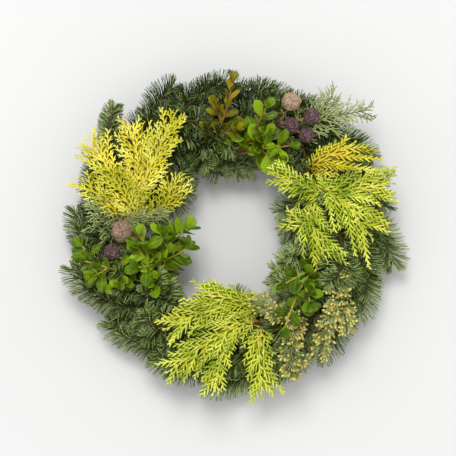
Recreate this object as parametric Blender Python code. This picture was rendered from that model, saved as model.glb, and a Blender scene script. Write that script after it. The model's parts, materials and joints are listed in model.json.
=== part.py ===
"""An evergreen wreath, lying on its back: a bound straw ring, a spiral of wire, and the sprigs that it holds.

Metres, +Z up. The origin is under the middle of the straw ring, on the surface that the wreath lies on.
A bearing is an angle in degrees clockwise from +Y, as on a clock face seen from above.
"""

import math
import random

import bpy
import numpy as np

# The straw ring, which is the size that the wreath is sold by
RING_RADIUS = 0.106  # from the middle of the wreath to the middle of the straw
STRAW_RADIUS = 0.0155
RING_HEIGHT = 0.0141  # under the straw's radius, so that the ring lies on flats
WIRE_GROOVE = 0.003
SIDES_ROUND_STRAW = 8
STRAW_COLUMNS = 3  # columns of faces from one groove to the next

# The binding wire
WIRE_TURNS = 15
WIRE_RADIUS = 0.0004
WIRE_OVER_STEMS = 0.0215  # from the middle of the straw, where the wire passes over the stems
BARE_UNDERSIDE = (235, 305)  # round the straw, in degrees, where the wire bites into it

# The room that the sprigs keep
GAP = 0.0003  # between one piece and the next
HOLE = (0.041, 0.048)  # half the width and half the length of the hole in the middle

# Stems and what grows on them
STEM_RADIUS = 0.0013
FIR_ARC = 14  # degrees of the ring along which a fir stem is bound down
SPRIG_ARC = 9  # the same for a stem that rises from the top of the ring
FIR_CORE = 0.0015
FIR_NEEDLE = 0.021
FIR_BAND = 0.0104  # from one whorl of needles to the next
FIR_CURL = 0.7  # how far a fir stem turns to follow the outline: 0 not at all, 1 until it runs along it
WHORL = 0.0022  # how much of the twig a whorl takes
FIR_LEAN = 50  # degrees between a needle and its twig
FAN_THICKNESS = 0.001
FAN_BRANCH_EVERY = 0.0094
FAN_BRANCH_ANGLE = 41
TOOTH_EVERY = 0.0078
TOOTH = 0.0078
LEAF_LENGTH = 0.020
LEAF_THICKNESS = 0.0008
CONE_RADIUS = 0.0098
THREAD_CORE = 0.001
BUD_RADIUS = 0.0014

# Colours, as red, green and blue from 0 to 1
STRAW = (0.55, 0.43, 0.20)
WIRE_GREEN = (0.05, 0.12, 0.06)
FIR_GREEN = (0.07, 0.15, 0.08)
GOLD = (0.72, 0.66, 0.05)
LIME = (0.45, 0.60, 0.06)
LEAF_GREEN = (0.16, 0.34, 0.03)
LEAF_BRONZE = (0.30, 0.27, 0.03)
CONE_BROWN = (0.21, 0.13, 0.09)
BLUE_GREEN = (0.25, 0.33, 0.20)
BUD_GREEN = (0.50, 0.50, 0.16)

# Fir sprigs: bearing, reach and height of the tip, how many degrees back the root is, and where round the straw
# it is bound: 0 is outermost, 90 on top, 180 innermost
FIR_OUTER = [
    (317, 0.170, 0.046, 34, 50),
    (338, 0.157, 0.030, 42, 14),
    (0, 0.150, 0.044, 44, 50),
    (21, 0.147, 0.028, 40, 14),
    (41, 0.155, 0.040, 42, 50),
    (61, 0.160, 0.028, 42, 14),
    (80, 0.157, 0.042, 42, 50),
    (100, 0.166, 0.026, 42, 14),
    (121, 0.151, 0.042, 42, 50),
    (143, 0.151, 0.026, 42, 14),
    (165, 0.147, 0.042, 44, 50),
    (187, 0.154, 0.028, 44, 14),
    (210, 0.148, 0.042, 44, 50),
    (233, 0.152, 0.026, 44, 14),
    (257, 0.162, 0.044, 40, 50),
    (277, 0.156, 0.026, 40, 14),
    (297, 0.150, 0.040, 42, 50),
]
FIR_INNER = [
    (322, 0.069, 0.030, 50, 162),
    (18, 0.067, 0.032, 50, 162),
    (95, 0.061, 0.030, 50, 162),
    (138, 0.069, 0.032, 50, 162),
    (200, 0.066, 0.030, 50, 162),
    (275, 0.061, 0.034, 54, 162),
]
FIR_TOP = [
    (346, 0.118, 0.066, 42, 78),
    (2, 0.092, 0.060, 42, 112),
    (36, 0.099, 0.050, 42, 100),
    (116, 0.118, 0.064, 42, 78),
    (140, 0.092, 0.058, 42, 112),
    (226, 0.124, 0.064, 42, 78),
    (240, 0.094, 0.060, 42, 112),
    (258, 0.112, 0.062, 40, 95),
]

# The tip of the side shoot that some of the fir sprigs send over the straw or towards the hole
FIR_FORKS = {
    "fir_outer_5": (46, 0.106, 0.046),
    "fir_outer_7": (74, 0.113, 0.046),
    "fir_outer_9": (110, 0.103, 0.043),
    "fir_outer_11": (156, 0.102, 0.046),
    "fir_outer_12": (180, 0.102, 0.046),
    "fir_outer_13": (198, 0.106, 0.046),
    "fir_outer_1": (306, 0.112, 0.044),
    "fir_top_2": (344, 0.084, 0.042),
    "fir_inner_4": (113, 0.068, 0.038),
}

# Golden cypress, in bunches: the bearing and reach where each is bound, its colour, then for each of its fans
# the bearing, reach and height of the tip, and the greatest half width
GOLD_BUNCHES = {
    "left": ((277, 0.101), GOLD, [
        (304, 0.172, 0.066, 0.025),
        (318, 0.152, 0.078, 0.026),
        (336, 0.130, 0.090, 0.024),
        (315, 0.080, 0.074, 0.021),
        (290, 0.158, 0.058, 0.022),
    ]),
    "right": ((63, 0.104), LIME, [
        (54, 0.151, 0.080, 0.028),
        (73, 0.168, 0.066, 0.028),
        (92, 0.140, 0.078, 0.028),
        (106, 0.100, 0.070, 0.023),
        (76, 0.056, 0.054, 0.021),
        (34, 0.070, 0.086, 0.020),
    ]),
    "bottom": ((158, 0.096), LIME, [
        (210, 0.070, 0.066, 0.021),
        (214, 0.114, 0.078, 0.025),
        (204, 0.150, 0.070, 0.025),
        (186, 0.158, 0.082, 0.023),
        (169, 0.166, 0.062, 0.021),
    ]),
}

# Broad-leaved sprigs: the bearing and reach where each is bound, its colour, how many pairs of leaves a shoot
# has, and the bearing, reach and height of the tip of each shoot
LEAFY_SPRIGS = {
    "leafy_top_1": ((346, 0.100), LEAF_BRONZE, 4, [(1, 0.148, 0.078)]),
    "leafy_top_2": ((358, 0.092), LEAF_GREEN, 4, [(16, 0.128, 0.084), (34, 0.104, 0.074)]),
    "leafy_left_1": ((243, 0.108), LEAF_GREEN, 4, [(259, 0.146, 0.072)]),
    "leafy_left_2": ((238, 0.096), LEAF_GREEN, 4, [(258, 0.092, 0.084), (270, 0.056, 0.066)]),
    "leafy_right": ((116, 0.100), LEAF_GREEN, 4, [(132, 0.074, 0.078), (149, 0.106, 0.084)]),
}

# Cones: the bearing and reach where each twig is bound, then each cone's bearing, reach, height and size
CONE_TWIGS = {
    "cone_twig_left": ((258, 0.104), [(271, 0.106, 0.078, 1.12), (261, 0.118, 0.068, 0.85)]),
    "cone_twig_top": ((18, 0.108), [
        (30, 0.123, 0.064, 0.85),
        (25, 0.143, 0.078, 0.95),
        (35, 0.141, 0.070, 0.85),
        (38, 0.123, 0.066, 0.8),
    ]),
}

# Blue-green cypress: where each spray is bound, whether its threads carry buds, and the tip of each shoot
THREAD_SPRAYS = {
    "cypress_top": ((28, 0.110), False, [(37, 0.170, 0.058), (48, 0.182, 0.054)]),
    "cypress_left": ((262, 0.108), False, [(281, 0.138, 0.060), (286, 0.072, 0.062)]),
    "bud_spray_1": ((118, 0.108), True, [(129, 0.148, 0.072), (143, 0.148, 0.066)]),
    "bud_spray_2": ((138, 0.104), True, [(157, 0.150, 0.074), (157, 0.074, 0.068)]),
}

# Where the root of a stem may move to when its place is taken: degrees round the straw, degrees along the ring
NUDGES = [(turn, shift) for shift in (0, 2, -2, 4, -4, 6, -6, 8, -8, 11, -11)
          for turn in (0, 6, -6, 12, -12, 18, -18, 26, -26, 34, -34)]


def unit(vector):
    return vector / np.linalg.norm(vector)


def polar(bearing, reach, height):
    angle = math.radians(bearing)
    return np.array((reach * math.sin(angle), reach * math.cos(angle), height))


def clockwise(bearing):
    return polar(bearing + 90, 1, 0)


def on_ring(bearing, round_straw, lift):
    """A point that far outside the straw's surface."""
    angle = math.radians(round_straw)
    distance = STRAW_RADIUS + lift
    return polar(bearing, RING_RADIUS + distance * math.cos(angle), RING_HEIGHT + distance * math.sin(angle))


def straw_angle(reach):
    """Where on top of the straw, in degrees, a point of that reach lies."""
    return math.degrees(math.acos(max(-0.9, min(0.9, (reach - RING_RADIUS) / STRAW_RADIUS))))


def under_wire(bearing, round_straw, arc):
    """The nearest bearing to this one at which a stem bound along that arc passes under a turn of the wire."""
    pitch = 360 / WIRE_TURNS
    middle = bearing + arc / 2
    turn = round((middle - pitch * round_straw / 360) / pitch)
    off = pitch * (turn + round_straw / 360) - middle
    slack = 0.35 * abs(arc)
    return bearing + math.copysign(max(0, abs(off) - slack), off)


class Path:
    """A line through space, measured by length, with a frame that turns no more than the line does."""

    def __init__(self, points, facing=(0, 0, 1)):
        self.points = np.array(points, float)
        steps = np.linalg.norm(np.diff(self.points, axis=0), axis=1)
        self.lengths = np.concatenate(([0], np.cumsum(steps)))
        self.length = self.lengths[-1]
        self.tangents = np.array([unit(t) for t in np.gradient(self.points, axis=0)])
        normal = np.array(facing, float)
        normals = []
        for tangent in self.tangents[::-1]:
            normal = unit(normal - tangent * normal.dot(tangent))
            normals.append(normal)
        self.normals = np.array(normals[::-1])

    def at(self, length):
        """Place, direction, upper side and right-hand side at that length along the line."""
        place, tangent, normal = (
            np.array([np.interp(length, self.lengths, values[:, axis]) for axis in range(3)])
            for values in (self.points, self.tangents, self.normals)
        )
        tangent = unit(tangent)
        normal = unit(normal - tangent * normal.dot(tangent))
        return place, tangent, normal, np.cross(tangent, normal)


def curve_points(start, handle, end, count):
    steps = np.linspace(0, 1, count)[:, None]
    return (1 - steps) ** 2 * start + 2 * steps * (1 - steps) * handle + steps ** 2 * end


class Clearance:
    """Everything that has grown so far, as round-ended rods, so that what grows next keeps clear of it."""

    def __init__(self):
        self.starts, self.ends = np.zeros((0, 3)), np.zeros((0, 3))
        self.radii, self.owners, self.twigs = np.zeros(0), np.zeros(0, int), np.zeros(0, int)
        self.names = []

    def owner(self, name):
        if name not in self.names:
            self.names.append(name)
        return self.names.index(name)

    def add(self, name, start, end, radius, twig=0):
        self.starts = np.vstack((self.starts, start))
        self.ends = np.vstack((self.ends, end + np.array((0, 0, 1e-7))))
        self.radii = np.append(self.radii, radius)
        self.owners = np.append(self.owners, self.owner(name))
        self.twigs = np.append(self.twigs, twig)

    def free(self, name, start, end, radius, twig=None):
        """Whether a rod is clear of other pieces and, with a twig given, of the rest of this one."""
        if min(start[2], end[2]) < radius + GAP:
            return False
        for place in (start, (start + end) / 2, end):
            if (place[0] / HOLE[0]) ** 2 + (place[1] / HOLE[1]) ** 2 < 1:
                return False
        chosen = self.owners != self.owner(name)
        if twig is not None:
            chosen = chosen | (self.twigs != twig)
        starts, ends, radii = self.starts[chosen], self.ends[chosen], self.radii[chosen]
        along, others, apart = end - start, ends - starts, start - starts
        a, e = along @ along, (others * others).sum(1)
        b, c, f = others @ along, apart @ along, (others * apart).sum(1)
        spread = a * e - b * b
        s = np.clip((b * f - c * e) / np.where(spread > 1e-16, spread, np.inf), 0, 1)
        t = np.clip((b * s + f) / e, 0, 1)
        s = np.clip((b * t - c) / a, 0, 1)
        gaps = np.linalg.norm(apart + s[:, None] * along - t[:, None] * others, axis=1)
        return bool((gaps > radii + radius + GAP).all())

    def add_line(self, name, points, radius, twig=0):
        for start, end in zip(points, points[1:]):
            self.add(name, start, end, radius, twig)

    def free_line(self, name, points, radius, twig=None):
        return all(self.free(name, start, end, radius, twig) for start, end in zip(points, points[1:]))


class Shape:
    """The corners and faces of one closed body."""

    def __init__(self):
        self.corners, self.faces = [], []

    def corner(self, place):
        self.corners.append(tuple(place))
        return len(self.corners) - 1

    def ring(self, middle, across, up, radius, sides, turn=0.0):
        angles = [2 * math.pi * (step + turn) / sides for step in range(sides)]
        return [self.corner(middle + radius * (math.cos(x) * across + math.sin(x) * up)) for x in angles]

    def sleeve(self, lower, upper):
        """Faces between two rings of as many corners, the lower one nearer the root."""
        for side in range(len(lower)):
            after = (side + 1) % len(lower)
            self.faces.append([lower[side], upper[side], upper[after], lower[after]])

    def grow(self, base, sections, apex):
        """Raises a face, given by its corners, through rings of as many places to a point."""
        lower = list(base)
        middle = np.mean([self.corners[corner] for corner in base], axis=0)
        for places in sections:
            centre = np.mean(places, axis=0)
            spokes = [unit(place - centre) for place in places]
            if lower == list(base):
                reach = [unit(np.array(self.corners[corner]) - middle) for corner in base]
                count = len(places)
                fits = []
                for turn in range(count):
                    fits.append(sum(reach[i].dot(spokes[(i + turn) % count]) for i in range(count)))
                turn = int(np.argmax(fits))
            upper = [self.corner(places[(i + turn) % len(places)]) for i in range(len(places))]
            for side in range(len(lower)):
                after = (side + 1) % len(lower)
                self.faces.append([lower[side], lower[after], upper[after], upper[side]])
            lower = upper
        point = self.corner(apex)
        self.faces += [[first, second, point] for first, second in zip(lower, lower[1:] + lower[:1])]

    def to_object(self, name):
        mesh = bpy.data.meshes.new(name)
        mesh.from_pydata(self.corners, [], self.faces)
        mesh.update()
        made = bpy.data.objects.new(name, mesh)
        bpy.context.scene.collection.objects.link(made)
        return made


def coloured(made, colour, roughness=0.6):
    material = bpy.data.materials.new(made.name)
    material.use_nodes = True
    surface = material.node_tree.nodes["Principled BSDF"]
    surface.inputs["Base Color"].default_value = (*colour, 1)
    surface.inputs["Roughness"].default_value = roughness
    material.diffuse_color = (*colour, 1)
    made.data.materials.clear()
    made.data.materials.append(material)
    return made


def joined(name, shapes):
    """One body from shapes that are sunk into the first of them."""
    body, *others = [shape.to_object(name) for shape in shapes]
    if others:
        together = bpy.data.collections.new(name)
        for other in others:
            bpy.context.scene.collection.objects.unlink(other)
            together.objects.link(other)
        union = body.modifiers.new("Union", "BOOLEAN")
        union.operation, union.solver = "UNION", "EXACT"
        union.operand_type, union.collection = "COLLECTION", together
        bpy.context.view_layer.update()
        graph = bpy.context.evaluated_depsgraph_get()
        mesh = bpy.data.meshes.new_from_object(body.evaluated_get(graph))
        body.modifiers.clear()
        body.data = mesh
        for other in others:
            bpy.data.objects.remove(other)
        bpy.data.collections.remove(together)
    body.name = name
    return body


def stations_to(path, end):
    """Where the corners of a path lie along it, up to that length."""
    return [length for length in path.lengths if length < end - 0.003] + [end]


def tube(path, lengths, radii, sides=4):
    """A closed bar along part of a path."""
    shape = Shape()
    rings = []
    for length, radius in zip(lengths, radii):
        place, _, up, across = path.at(length)
        rings.append(shape.ring(place, across, up, radius, sides, 0.5))
    for lower, upper in zip(rings, rings[1:]):
        shape.sleeve(lower, upper)
    shape.faces += [rings[0], rings[-1][::-1]]
    return shape


def straw_ring(clearance):
    """Straw bound into a ring: each turn of wire draws it in, and it lies on the flats between them."""
    shape = Shape()
    columns = WIRE_TURNS * STRAW_COLUMNS
    corners = {}
    for column in range(columns):
        in_groove = column % STRAW_COLUMNS == 0
        for row in range(SIDES_ROUND_STRAW):
            share = (row + 0.5) / SIDES_ROUND_STRAW
            bearing = 360 * (column / STRAW_COLUMNS + share) / WIRE_TURNS
            place = on_ring(bearing, 360 * share, -WIRE_GROOVE if in_groove else 0)
            place[2] = max(place[2], 0)
            corners[column, row] = shape.corner(place)

    def corner(column, row):
        if row == SIDES_ROUND_STRAW:
            column, row = column + STRAW_COLUMNS, 0
        return corners[column % columns, row]

    for column in range(columns):
        for row in range(SIDES_ROUND_STRAW):
            shape.faces.append([corner(column, row), corner(column, row + 1),
                                corner(column + 1, row + 1), corner(column + 1, row)])
    for bearing in range(0, 360, 5):
        clearance.add("straw_ring", polar(bearing, RING_RADIUS, RING_HEIGHT),
                      polar(bearing + 5, RING_RADIUS, RING_HEIGHT), STRAW_RADIUS)
    return coloured(shape.to_object("straw_ring"), STRAW, 0.8)


def binding_wire(clearance):
    """One wire wound round the straw and the stems. Underneath it bites into the straw."""
    points = []
    for step in range(1, WIRE_TURNS * SIDES_ROUND_STRAW - 1):
        share = (step + 0.5) / SIDES_ROUND_STRAW
        if BARE_UNDERSIDE[0] < 360 * share % 360 < BARE_UNDERSIDE[1]:
            lift = 2 * GAP + 2 * WIRE_RADIUS - WIRE_GROOVE
        else:
            lift = WIRE_OVER_STEMS - STRAW_RADIUS
        points.append(on_ring(360 * share / WIRE_TURNS, 360 * share, lift))
    path = Path(points)
    wire = tube(path, path.lengths, [WIRE_RADIUS] * len(points), 3)
    clearance.add_line("binding_wire", path.points, WIRE_RADIUS)
    return coloured(wire.to_object("binding_wire"), WIRE_GREEN, 0.4)


def needled_twig(name, path, bare, core, band, whorl, tip_of, grown, thick, twig, clearance):
    """A three-sided twig. Beyond its bare part each whorl of six faces is raised into needles or threads."""
    shape = Shape()
    stations = stations_to(path, bare)
    whorls = max(2, round((path.length - bare) / band))
    raised = []
    for start in np.linspace(bare, path.length - whorl, whorls):
        raised.append(len(stations) - 1 if start == bare else len(stations))
        stations += [start, start + whorl] if start > bare else [start + whorl]
    rings = []
    for index, length in enumerate(stations):
        place, _, up, across = path.at(length)
        radius = core * (1 if length <= bare else 1 - 0.4 * (length - bare) / (path.length - bare))
        rings.append(shape.ring(place, across, up, radius, 3, 0.5 * (index % 2)))
    shape.faces.append(rings[0])
    for index, (lower, upper) in enumerate(zip(rings, rings[1:])):
        shift = index % 2
        length = (stations[index] + stations[index + 1]) / 2
        for side in range(3):
            after = (side + 1) % 3
            for triangle in (
                [lower[side], upper[(side + shift) % 3], lower[after]],
                [upper[(side + shift) % 3], upper[(after + shift) % 3], lower[after]],
            ):
                tip = None
                if index in raised:
                    base = np.mean([shape.corners[corner] for corner in triangle], axis=0)
                    tip = free_tip(name, path, length, base, bare, tip_of, thick, twig, clearance)
                if tip is None:
                    shape.faces.append(triangle)
                else:
                    shape.grow(triangle, *grown(base, tip))
    place, forward, _, _ = path.at(path.length)
    reach = tip_of(path, path.length, place, place, bare)[1] * 0.7
    if clearance.free(name, place + forward * 0.002, place + forward * reach, thick, twig):
        clearance.add(name, place, place + forward * reach, thick)
        shape.grow(rings[-1][::-1], *grown(place, place + forward * reach))
    else:
        shape.faces.append(rings[-1][::-1])
    return shape


def free_tip(name, path, length, base, bare, tip_of, thick, twig, clearance):
    """Where a needle can end: at its natural lean, or bent nearer to the twig. None where there is no room."""
    place, forward, _, _ = path.at(length)
    normal = unit(base - place - forward * (base - place).dot(forward))
    lean, reach, rise = tip_of(path, length, base, place, bare)
    for bend, share in ((0, 1), (-10, 1), (-18, 0.9), (8, 0.85), (0, 0.7), (-18, 0.65)):
        angle = math.radians(max(12, lean + bend))
        direction = unit(normal * math.sin(angle) + forward * math.cos(angle) + rise * np.array((0, 0, 1)))
        start, tip = base + direction * 0.22 * reach * share, base + direction * reach * share
        if clearance.free(name, base, start, 0.0009) and clearance.free(name, start, tip, thick, twig):
            clearance.add(name, base, start, 0.0012, twig)
            clearance.add(name, start, tip, thick)
            return tip
    return None


def fir_tip(path, length, base, place, bare):
    """The lean, length and rise of a fir needle. The needles close up towards the tip of the twig."""
    share = (length - bare) / (path.length - bare)
    return FIR_LEAN - 16 * share + random.uniform(-5, 5), FIR_NEEDLE * (1 - 0.2 * share), 0.12


def thread_tip(path, length, base, place, bare):
    """The same for the side threads of a cypress spray, which lie to the left and right of it."""
    share = (length - bare) / (path.length - bare)
    aside = abs((base - place)[:2] @ path.at(length)[3][:2]) / (np.linalg.norm(base - place) + 1e-9)
    return 34 + random.uniform(-6, 6), (0.010 + 0.018 * aside) * (1 - 0.45 * share), 0.05


def sharp(base, tip):
    return [], tip


def budded(base, tip):
    """A thread that ends in a small round bud."""
    direction = unit(tip - base)
    across = unit(np.cross(direction, (0.3, 0.2, 1)))
    up = np.cross(direction, across)
    angles = [2 * math.pi * step / 3 for step in range(3)]
    spokes = [math.cos(angle) * across + math.sin(angle) * up for angle in angles]
    sections = []
    for back, radius in ((2.6, 0.45), (1.3, 1)):
        middle = tip - direction * back * BUD_RADIUS
        sections.append([middle + radius * BUD_RADIUS * spoke for spoke in spokes])
    return sections, tip


def bound_stem(root_bearing, round_straw, arc, tip, along, lift, facing=(0, 0, 1), curl=0.0):
    """A stem that lies along the ring under the wire, then rises from it and bends over to its tip. With curl
    it leaves the ring sooner, and turns to follow the ring again towards its tip."""
    bed = 0.0002 + GAP + FIR_CORE
    root_bearing = under_wire(root_bearing, round_straw, arc)
    bound = [on_ring(root_bearing + arc * share, round_straw, bed) for share in (0, 0.5, 1)]
    end = root_bearing + arc
    distance = np.linalg.norm(tip - bound[-1])
    away = unit(bound[-1] - polar(end, RING_RADIUS, RING_HEIGHT))
    handle = bound[-1] + math.copysign(along * distance, arc) * clockwise(end) + away * lift
    tip_bearing = math.degrees(math.atan2(tip[0], tip[1]))
    handle += curl * (tip - 0.55 * distance * clockwise(tip_bearing) - handle)
    return Path(bound[:-1] + list(curve_points(bound[-1], handle, tip, 9)), facing)


def settled(name, make_path, radius, clearance):
    """The path that make_path gives for the first nudge of the root that keeps it clear of the other stems."""
    for nudge in NUDGES:
        path = make_path(*nudge)
        if clearance.free_line(name, path.points, radius):
            clearance.add_line(name, path.points, radius, 1)
            return path
    path = make_path(0, 0)
    clearance.add_line(name, path.points, radius, 1)
    return path


def shoots(name, stem, fork, tips, radius, clearance):
    """The stem, and the side shoots that fork from it to the other tips."""
    place, forward, _, _ = stem.at(stem.length * fork)
    found = [stem]
    for bearing, reach, height in tips:
        tip = polar(bearing, reach, height)
        distance = np.linalg.norm(tip - place)
        for rise, aside in ((0.1, 0), (0.25, 0), (0.4, 0), (0.2, 0.15), (0.2, -0.15), (0.5, 0.1), (0, 0)):
            swing = aside * clockwise(bearing)
            handle = place + distance * (0.4 * forward + rise * np.array((0, 0, 1)) + swing)
            points = curve_points(place, handle, tip, 9)
            if clearance.free_line(name, points[1:], radius):
                break
        clearance.add_line(name, points[1:], radius, len(found) + 1)
        found.append(Path(points))
    return found


def fir_stems(clearance):
    stems = {}
    for where, sprigs in (("outer", FIR_OUTER), ("inner", FIR_INNER), ("top", FIR_TOP)):
        for number, (bearing, reach, height, back, round_straw) in enumerate(sprigs, 1):
            name = f"fir_{where}_{number}"
            tip = polar(bearing, reach, height)
            lift, curl = (0.02, 0) if where == "top" else (0.006, FIR_CURL)

            def make(turn, shift, root=bearing - back, where=round_straw, tip=tip, lift=lift, curl=curl):
                return bound_stem(root + shift, where + turn, FIR_ARC, tip, 0.42, lift, curl=curl)
            stems[name] = [settled(name, make, FIR_CORE, clearance)]
    for name, tip in FIR_FORKS.items():
        stems[name] = shoots(name, stems[name][0], 0.4, [tip], FIR_CORE, clearance)
    return stems


def risen_stem(name, focus, spread, tip, lift, clearance, radius=STEM_RADIUS, facing=(0, 0, 1)):
    """A stem that rises from the top of the ring. It is bound on whichever side of the focus its tip isn't."""
    bearing, reach = focus
    tip_bearing, tip_reach, height = tip
    turned = (tip_bearing - bearing + 180) % 360 - 180
    arc = math.copysign(SPRIG_ARC, turned)

    def make(turn, shift):
        return bound_stem(bearing + spread - arc + shift, straw_angle(reach) + turn, arc,
                          polar(tip_bearing, tip_reach, height), 0.12, lift, facing)
    return settled(name, make, radius, clearance)


def ladder(lower, upper, flat, direction):
    """Triangles between two lines of corners that run side by side."""
    triangles = []
    i = j = 0
    while i < len(lower) - 1 or j < len(upper) - 1:
        if j == len(upper) - 1 or (i < len(lower) - 1
                                   and flat[lower[i + 1]] @ direction <= flat[upper[j + 1]] @ direction):
            triangles.append((lower[i], upper[j], lower[i + 1]))
            i += 1
        else:
            triangles.append((lower[i], upper[j], upper[j + 1]))
            j += 1
    return [triangle for triangle in triangles if len(set(triangle)) == 3]


def gold_fan(name, path, half_width, clearance):
    """A flat fan of scale leaves. Its branches stand to the left and right by turns, with toothed edges."""
    half_spine = 0.0011
    start = path.length * 0.3 + 0.018
    angle = math.radians(FAN_BRANCH_ANGLE)
    flat = []
    triangles = []

    def corner(*point):
        flat.append(np.array(point))
        return len(flat) - 1

    edge = {side: [corner(start, side * half_spine)] for side in (1, -1)}
    spine = {side: list(edge[side]) for side in (1, -1)}

    def place_of(x, y):
        place, _, up, across = path.at(min(x, path.length))
        over = max(0, x - path.length) * path.at(path.length)[1]
        return place + over + across * y - up * 7 * y * y

    def branch_is_free(flat_points, radius, twig=None):
        places = [place_of(*point) for point in flat_points]
        return clearance.free_line(name, places, radius, twig)

    count = int((path.length - start - 0.012) / FAN_BRANCH_EVERY)
    taken = []
    for number in range(count):
        side = 1 if number % 2 == 0 else -1
        x = start + 0.004 + FAN_BRANCH_EVERY * number
        share = (number + 0.5) / count
        width = half_width * (0.62 + 0.9 * share - 1.25 * share ** 2.4) * random.uniform(0.92, 1.08)
        length = width / math.sin(angle)
        along = np.array((math.cos(angle), side * math.sin(angle)))
        distal = np.array((math.sin(angle), -side * math.cos(angle)))
        origin = np.array((x, 0))
        for shorter in (1, 0.75, 0.5, 0.3):
            reach = length * shorter
            axis = [origin + along * reach * step for step in (0, 0.25, 0.5, 0.75, 1)]
            if reach > 0.006 and branch_is_free(axis, 0.0028):
                break
        else:
            continue
        taken += [(first, second, 0.0024) for first, second in zip(axis, axis[1:])]
        low, high = corner(x - 0.0016, side * half_spine), corner(x + 0.0034, side * half_spine)
        tip = corner(*(origin + along * (reach + 0.003)))
        flanks, rims = [], []
        for flank, first, root in ((-1, 0.003, low), (1, 0.0055, high)):
            notches, rim, teeth = [root], [root], []
            distance = first
            while distance + TOOTH_EVERY * 0.55 < reach:
                notch = origin + along * distance + flank * distal * 0.0016
                tooth_tip = notch + TOOTH * (along * 0.86 + flank * distal * 0.51)
                notches.append(corner(*notch))
                rim.append(notches[-1])
                if branch_is_free([notch + 0.3 * (tooth_tip - notch), tooth_tip], 0.0018):
                    taken.append((notch, tooth_tip, 0.0016))
                    teeth.append((len(notches) - 1, corner(*tooth_tip)))
                    rim.append(teeth[-1][1])
                distance += TOOTH_EVERY
            notches.append(tip)
            triangles += [(notches[at], tooth, notches[at + 1]) for at, tooth in teeth]
            flanks.append(notches)
            rims.append(rim)
        triangles += ladder(*flanks, flat, along)
        edge[side] += rims[0] + [tip] + rims[1][::-1]
        spine[side] += [low, high]
    apex = corner(path.length + 0.004, 0)
    triangles += ladder(spine[1] + [apex], spine[-1] + [apex], flat, np.array((1, 0)))
    outline = edge[1] + [apex] + edge[-1][::-1]
    for first, second, radius in taken:
        clearance.add(name, place_of(*first), place_of(*second), radius, 2)

    shape = Shape()
    tops, bottoms = [], []
    for x, y in flat:
        up = path.at(min(x, path.length))[2]
        tops.append(shape.corner(place_of(x, y) + up * FAN_THICKNESS / 2))
        bottoms.append(shape.corner(place_of(x, y) - up * FAN_THICKNESS / 2))
    for a, b, c in triangles:
        (ax, ay), (bx, by), (cx, cy) = flat[a], flat[b], flat[c]
        if (bx - ax) * (cy - ay) - (by - ay) * (cx - ax) > 0:
            a, c = c, a
        shape.faces += [[tops[a], tops[b], tops[c]], [bottoms[c], bottoms[b], bottoms[a]]]
    for a, b in zip(outline, outline[1:]):
        shape.faces += [[tops[a], bottoms[a], bottoms[b]], [tops[a], bottoms[b], tops[b]]]
    first, last = outline[0], outline[-1]
    base = [tops[first], tops[last], bottoms[last], bottoms[first]]
    rings = []
    for length in stations_to(path, start)[:-1]:
        place, _, up, across = path.at(length)
        rings.append(shape.ring(place, across, up, STEM_RADIUS, 4, 0.5))
    for lower, upper in zip(rings, rings[1:] + [base]):
        shape.sleeve(lower, upper)
    shape.faces.append(rings[0])
    return shape


def leaf_sections(base, direction, facing, length, width):
    """A leaf that is broadest past its middle and curves down a little towards its tip."""
    direction = unit(direction)
    normal = unit(facing - direction * facing.dot(direction))
    across = np.cross(normal, direction)
    sections = []
    for share, half, droop in ((0.55, 0.5, 0.01), (0.84, 0.41, 0.06)):
        middle = base + direction * length * share - normal * length * droop
        rim, thick = across * width * half, normal * LEAF_THICKNESS / 2
        sections.append([middle + rim + thick, middle - rim + thick,
                         middle - rim - thick, middle + rim - thick])
    return sections, base + direction * length * 1.0 - normal * length * 0.13


def leafy_shoot(name, path, pairs, clearance):
    """A stem with its leaves in pairs, each pair a quarter turn from the last, and one leaf at the tip."""
    shape = Shape()
    first = path.length - 0.0095 * pairs
    stations = stations_to(path, first)
    raised = {}
    for number in range(pairs):
        start = first + 0.0095 * number
        raised[len(stations) - 1] = number % 2
        stations += [start + 0.0024, start + 0.0095]
    rings = []
    for length in stations[:-1]:
        place, _, up, across = path.at(length)
        rings.append(shape.ring(place, across, up, STEM_RADIUS * (1 if length < first else 0.85), 4, 0.5))
    shape.faces.append(rings[0])
    upwards = np.array((0, 0, 1))
    for index, (lower, upper) in enumerate(zip(rings, rings[1:])):
        for side in range(4):
            after = (side + 1) % 4
            quad = [lower[side], upper[side], upper[after], lower[after]]
            if raised.get(index) != side % 2:
                shape.faces.append(quad)
                continue
            length = (stations[index] + stations[index + 1]) / 2
            place, forward, _, _ = path.at(length)
            base = np.mean([shape.corners[corner] for corner in quad], axis=0)
            outwards = unit(base - place)
            leaf = free_leaf(name, base, outwards, forward, upwards, clearance)
            if leaf is None:
                shape.faces.append(quad)
            else:
                shape.grow(quad, *leaf)
    place, forward, up, across = path.at(path.length)
    leaf = free_leaf(name, np.array(place), forward * 0.2 + across * 0.3, forward, upwards, clearance)
    if leaf is None:
        shape.faces.append(rings[-1][::-1])
    else:
        shape.grow(rings[-1][::-1], *leaf)
    return shape


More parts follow.
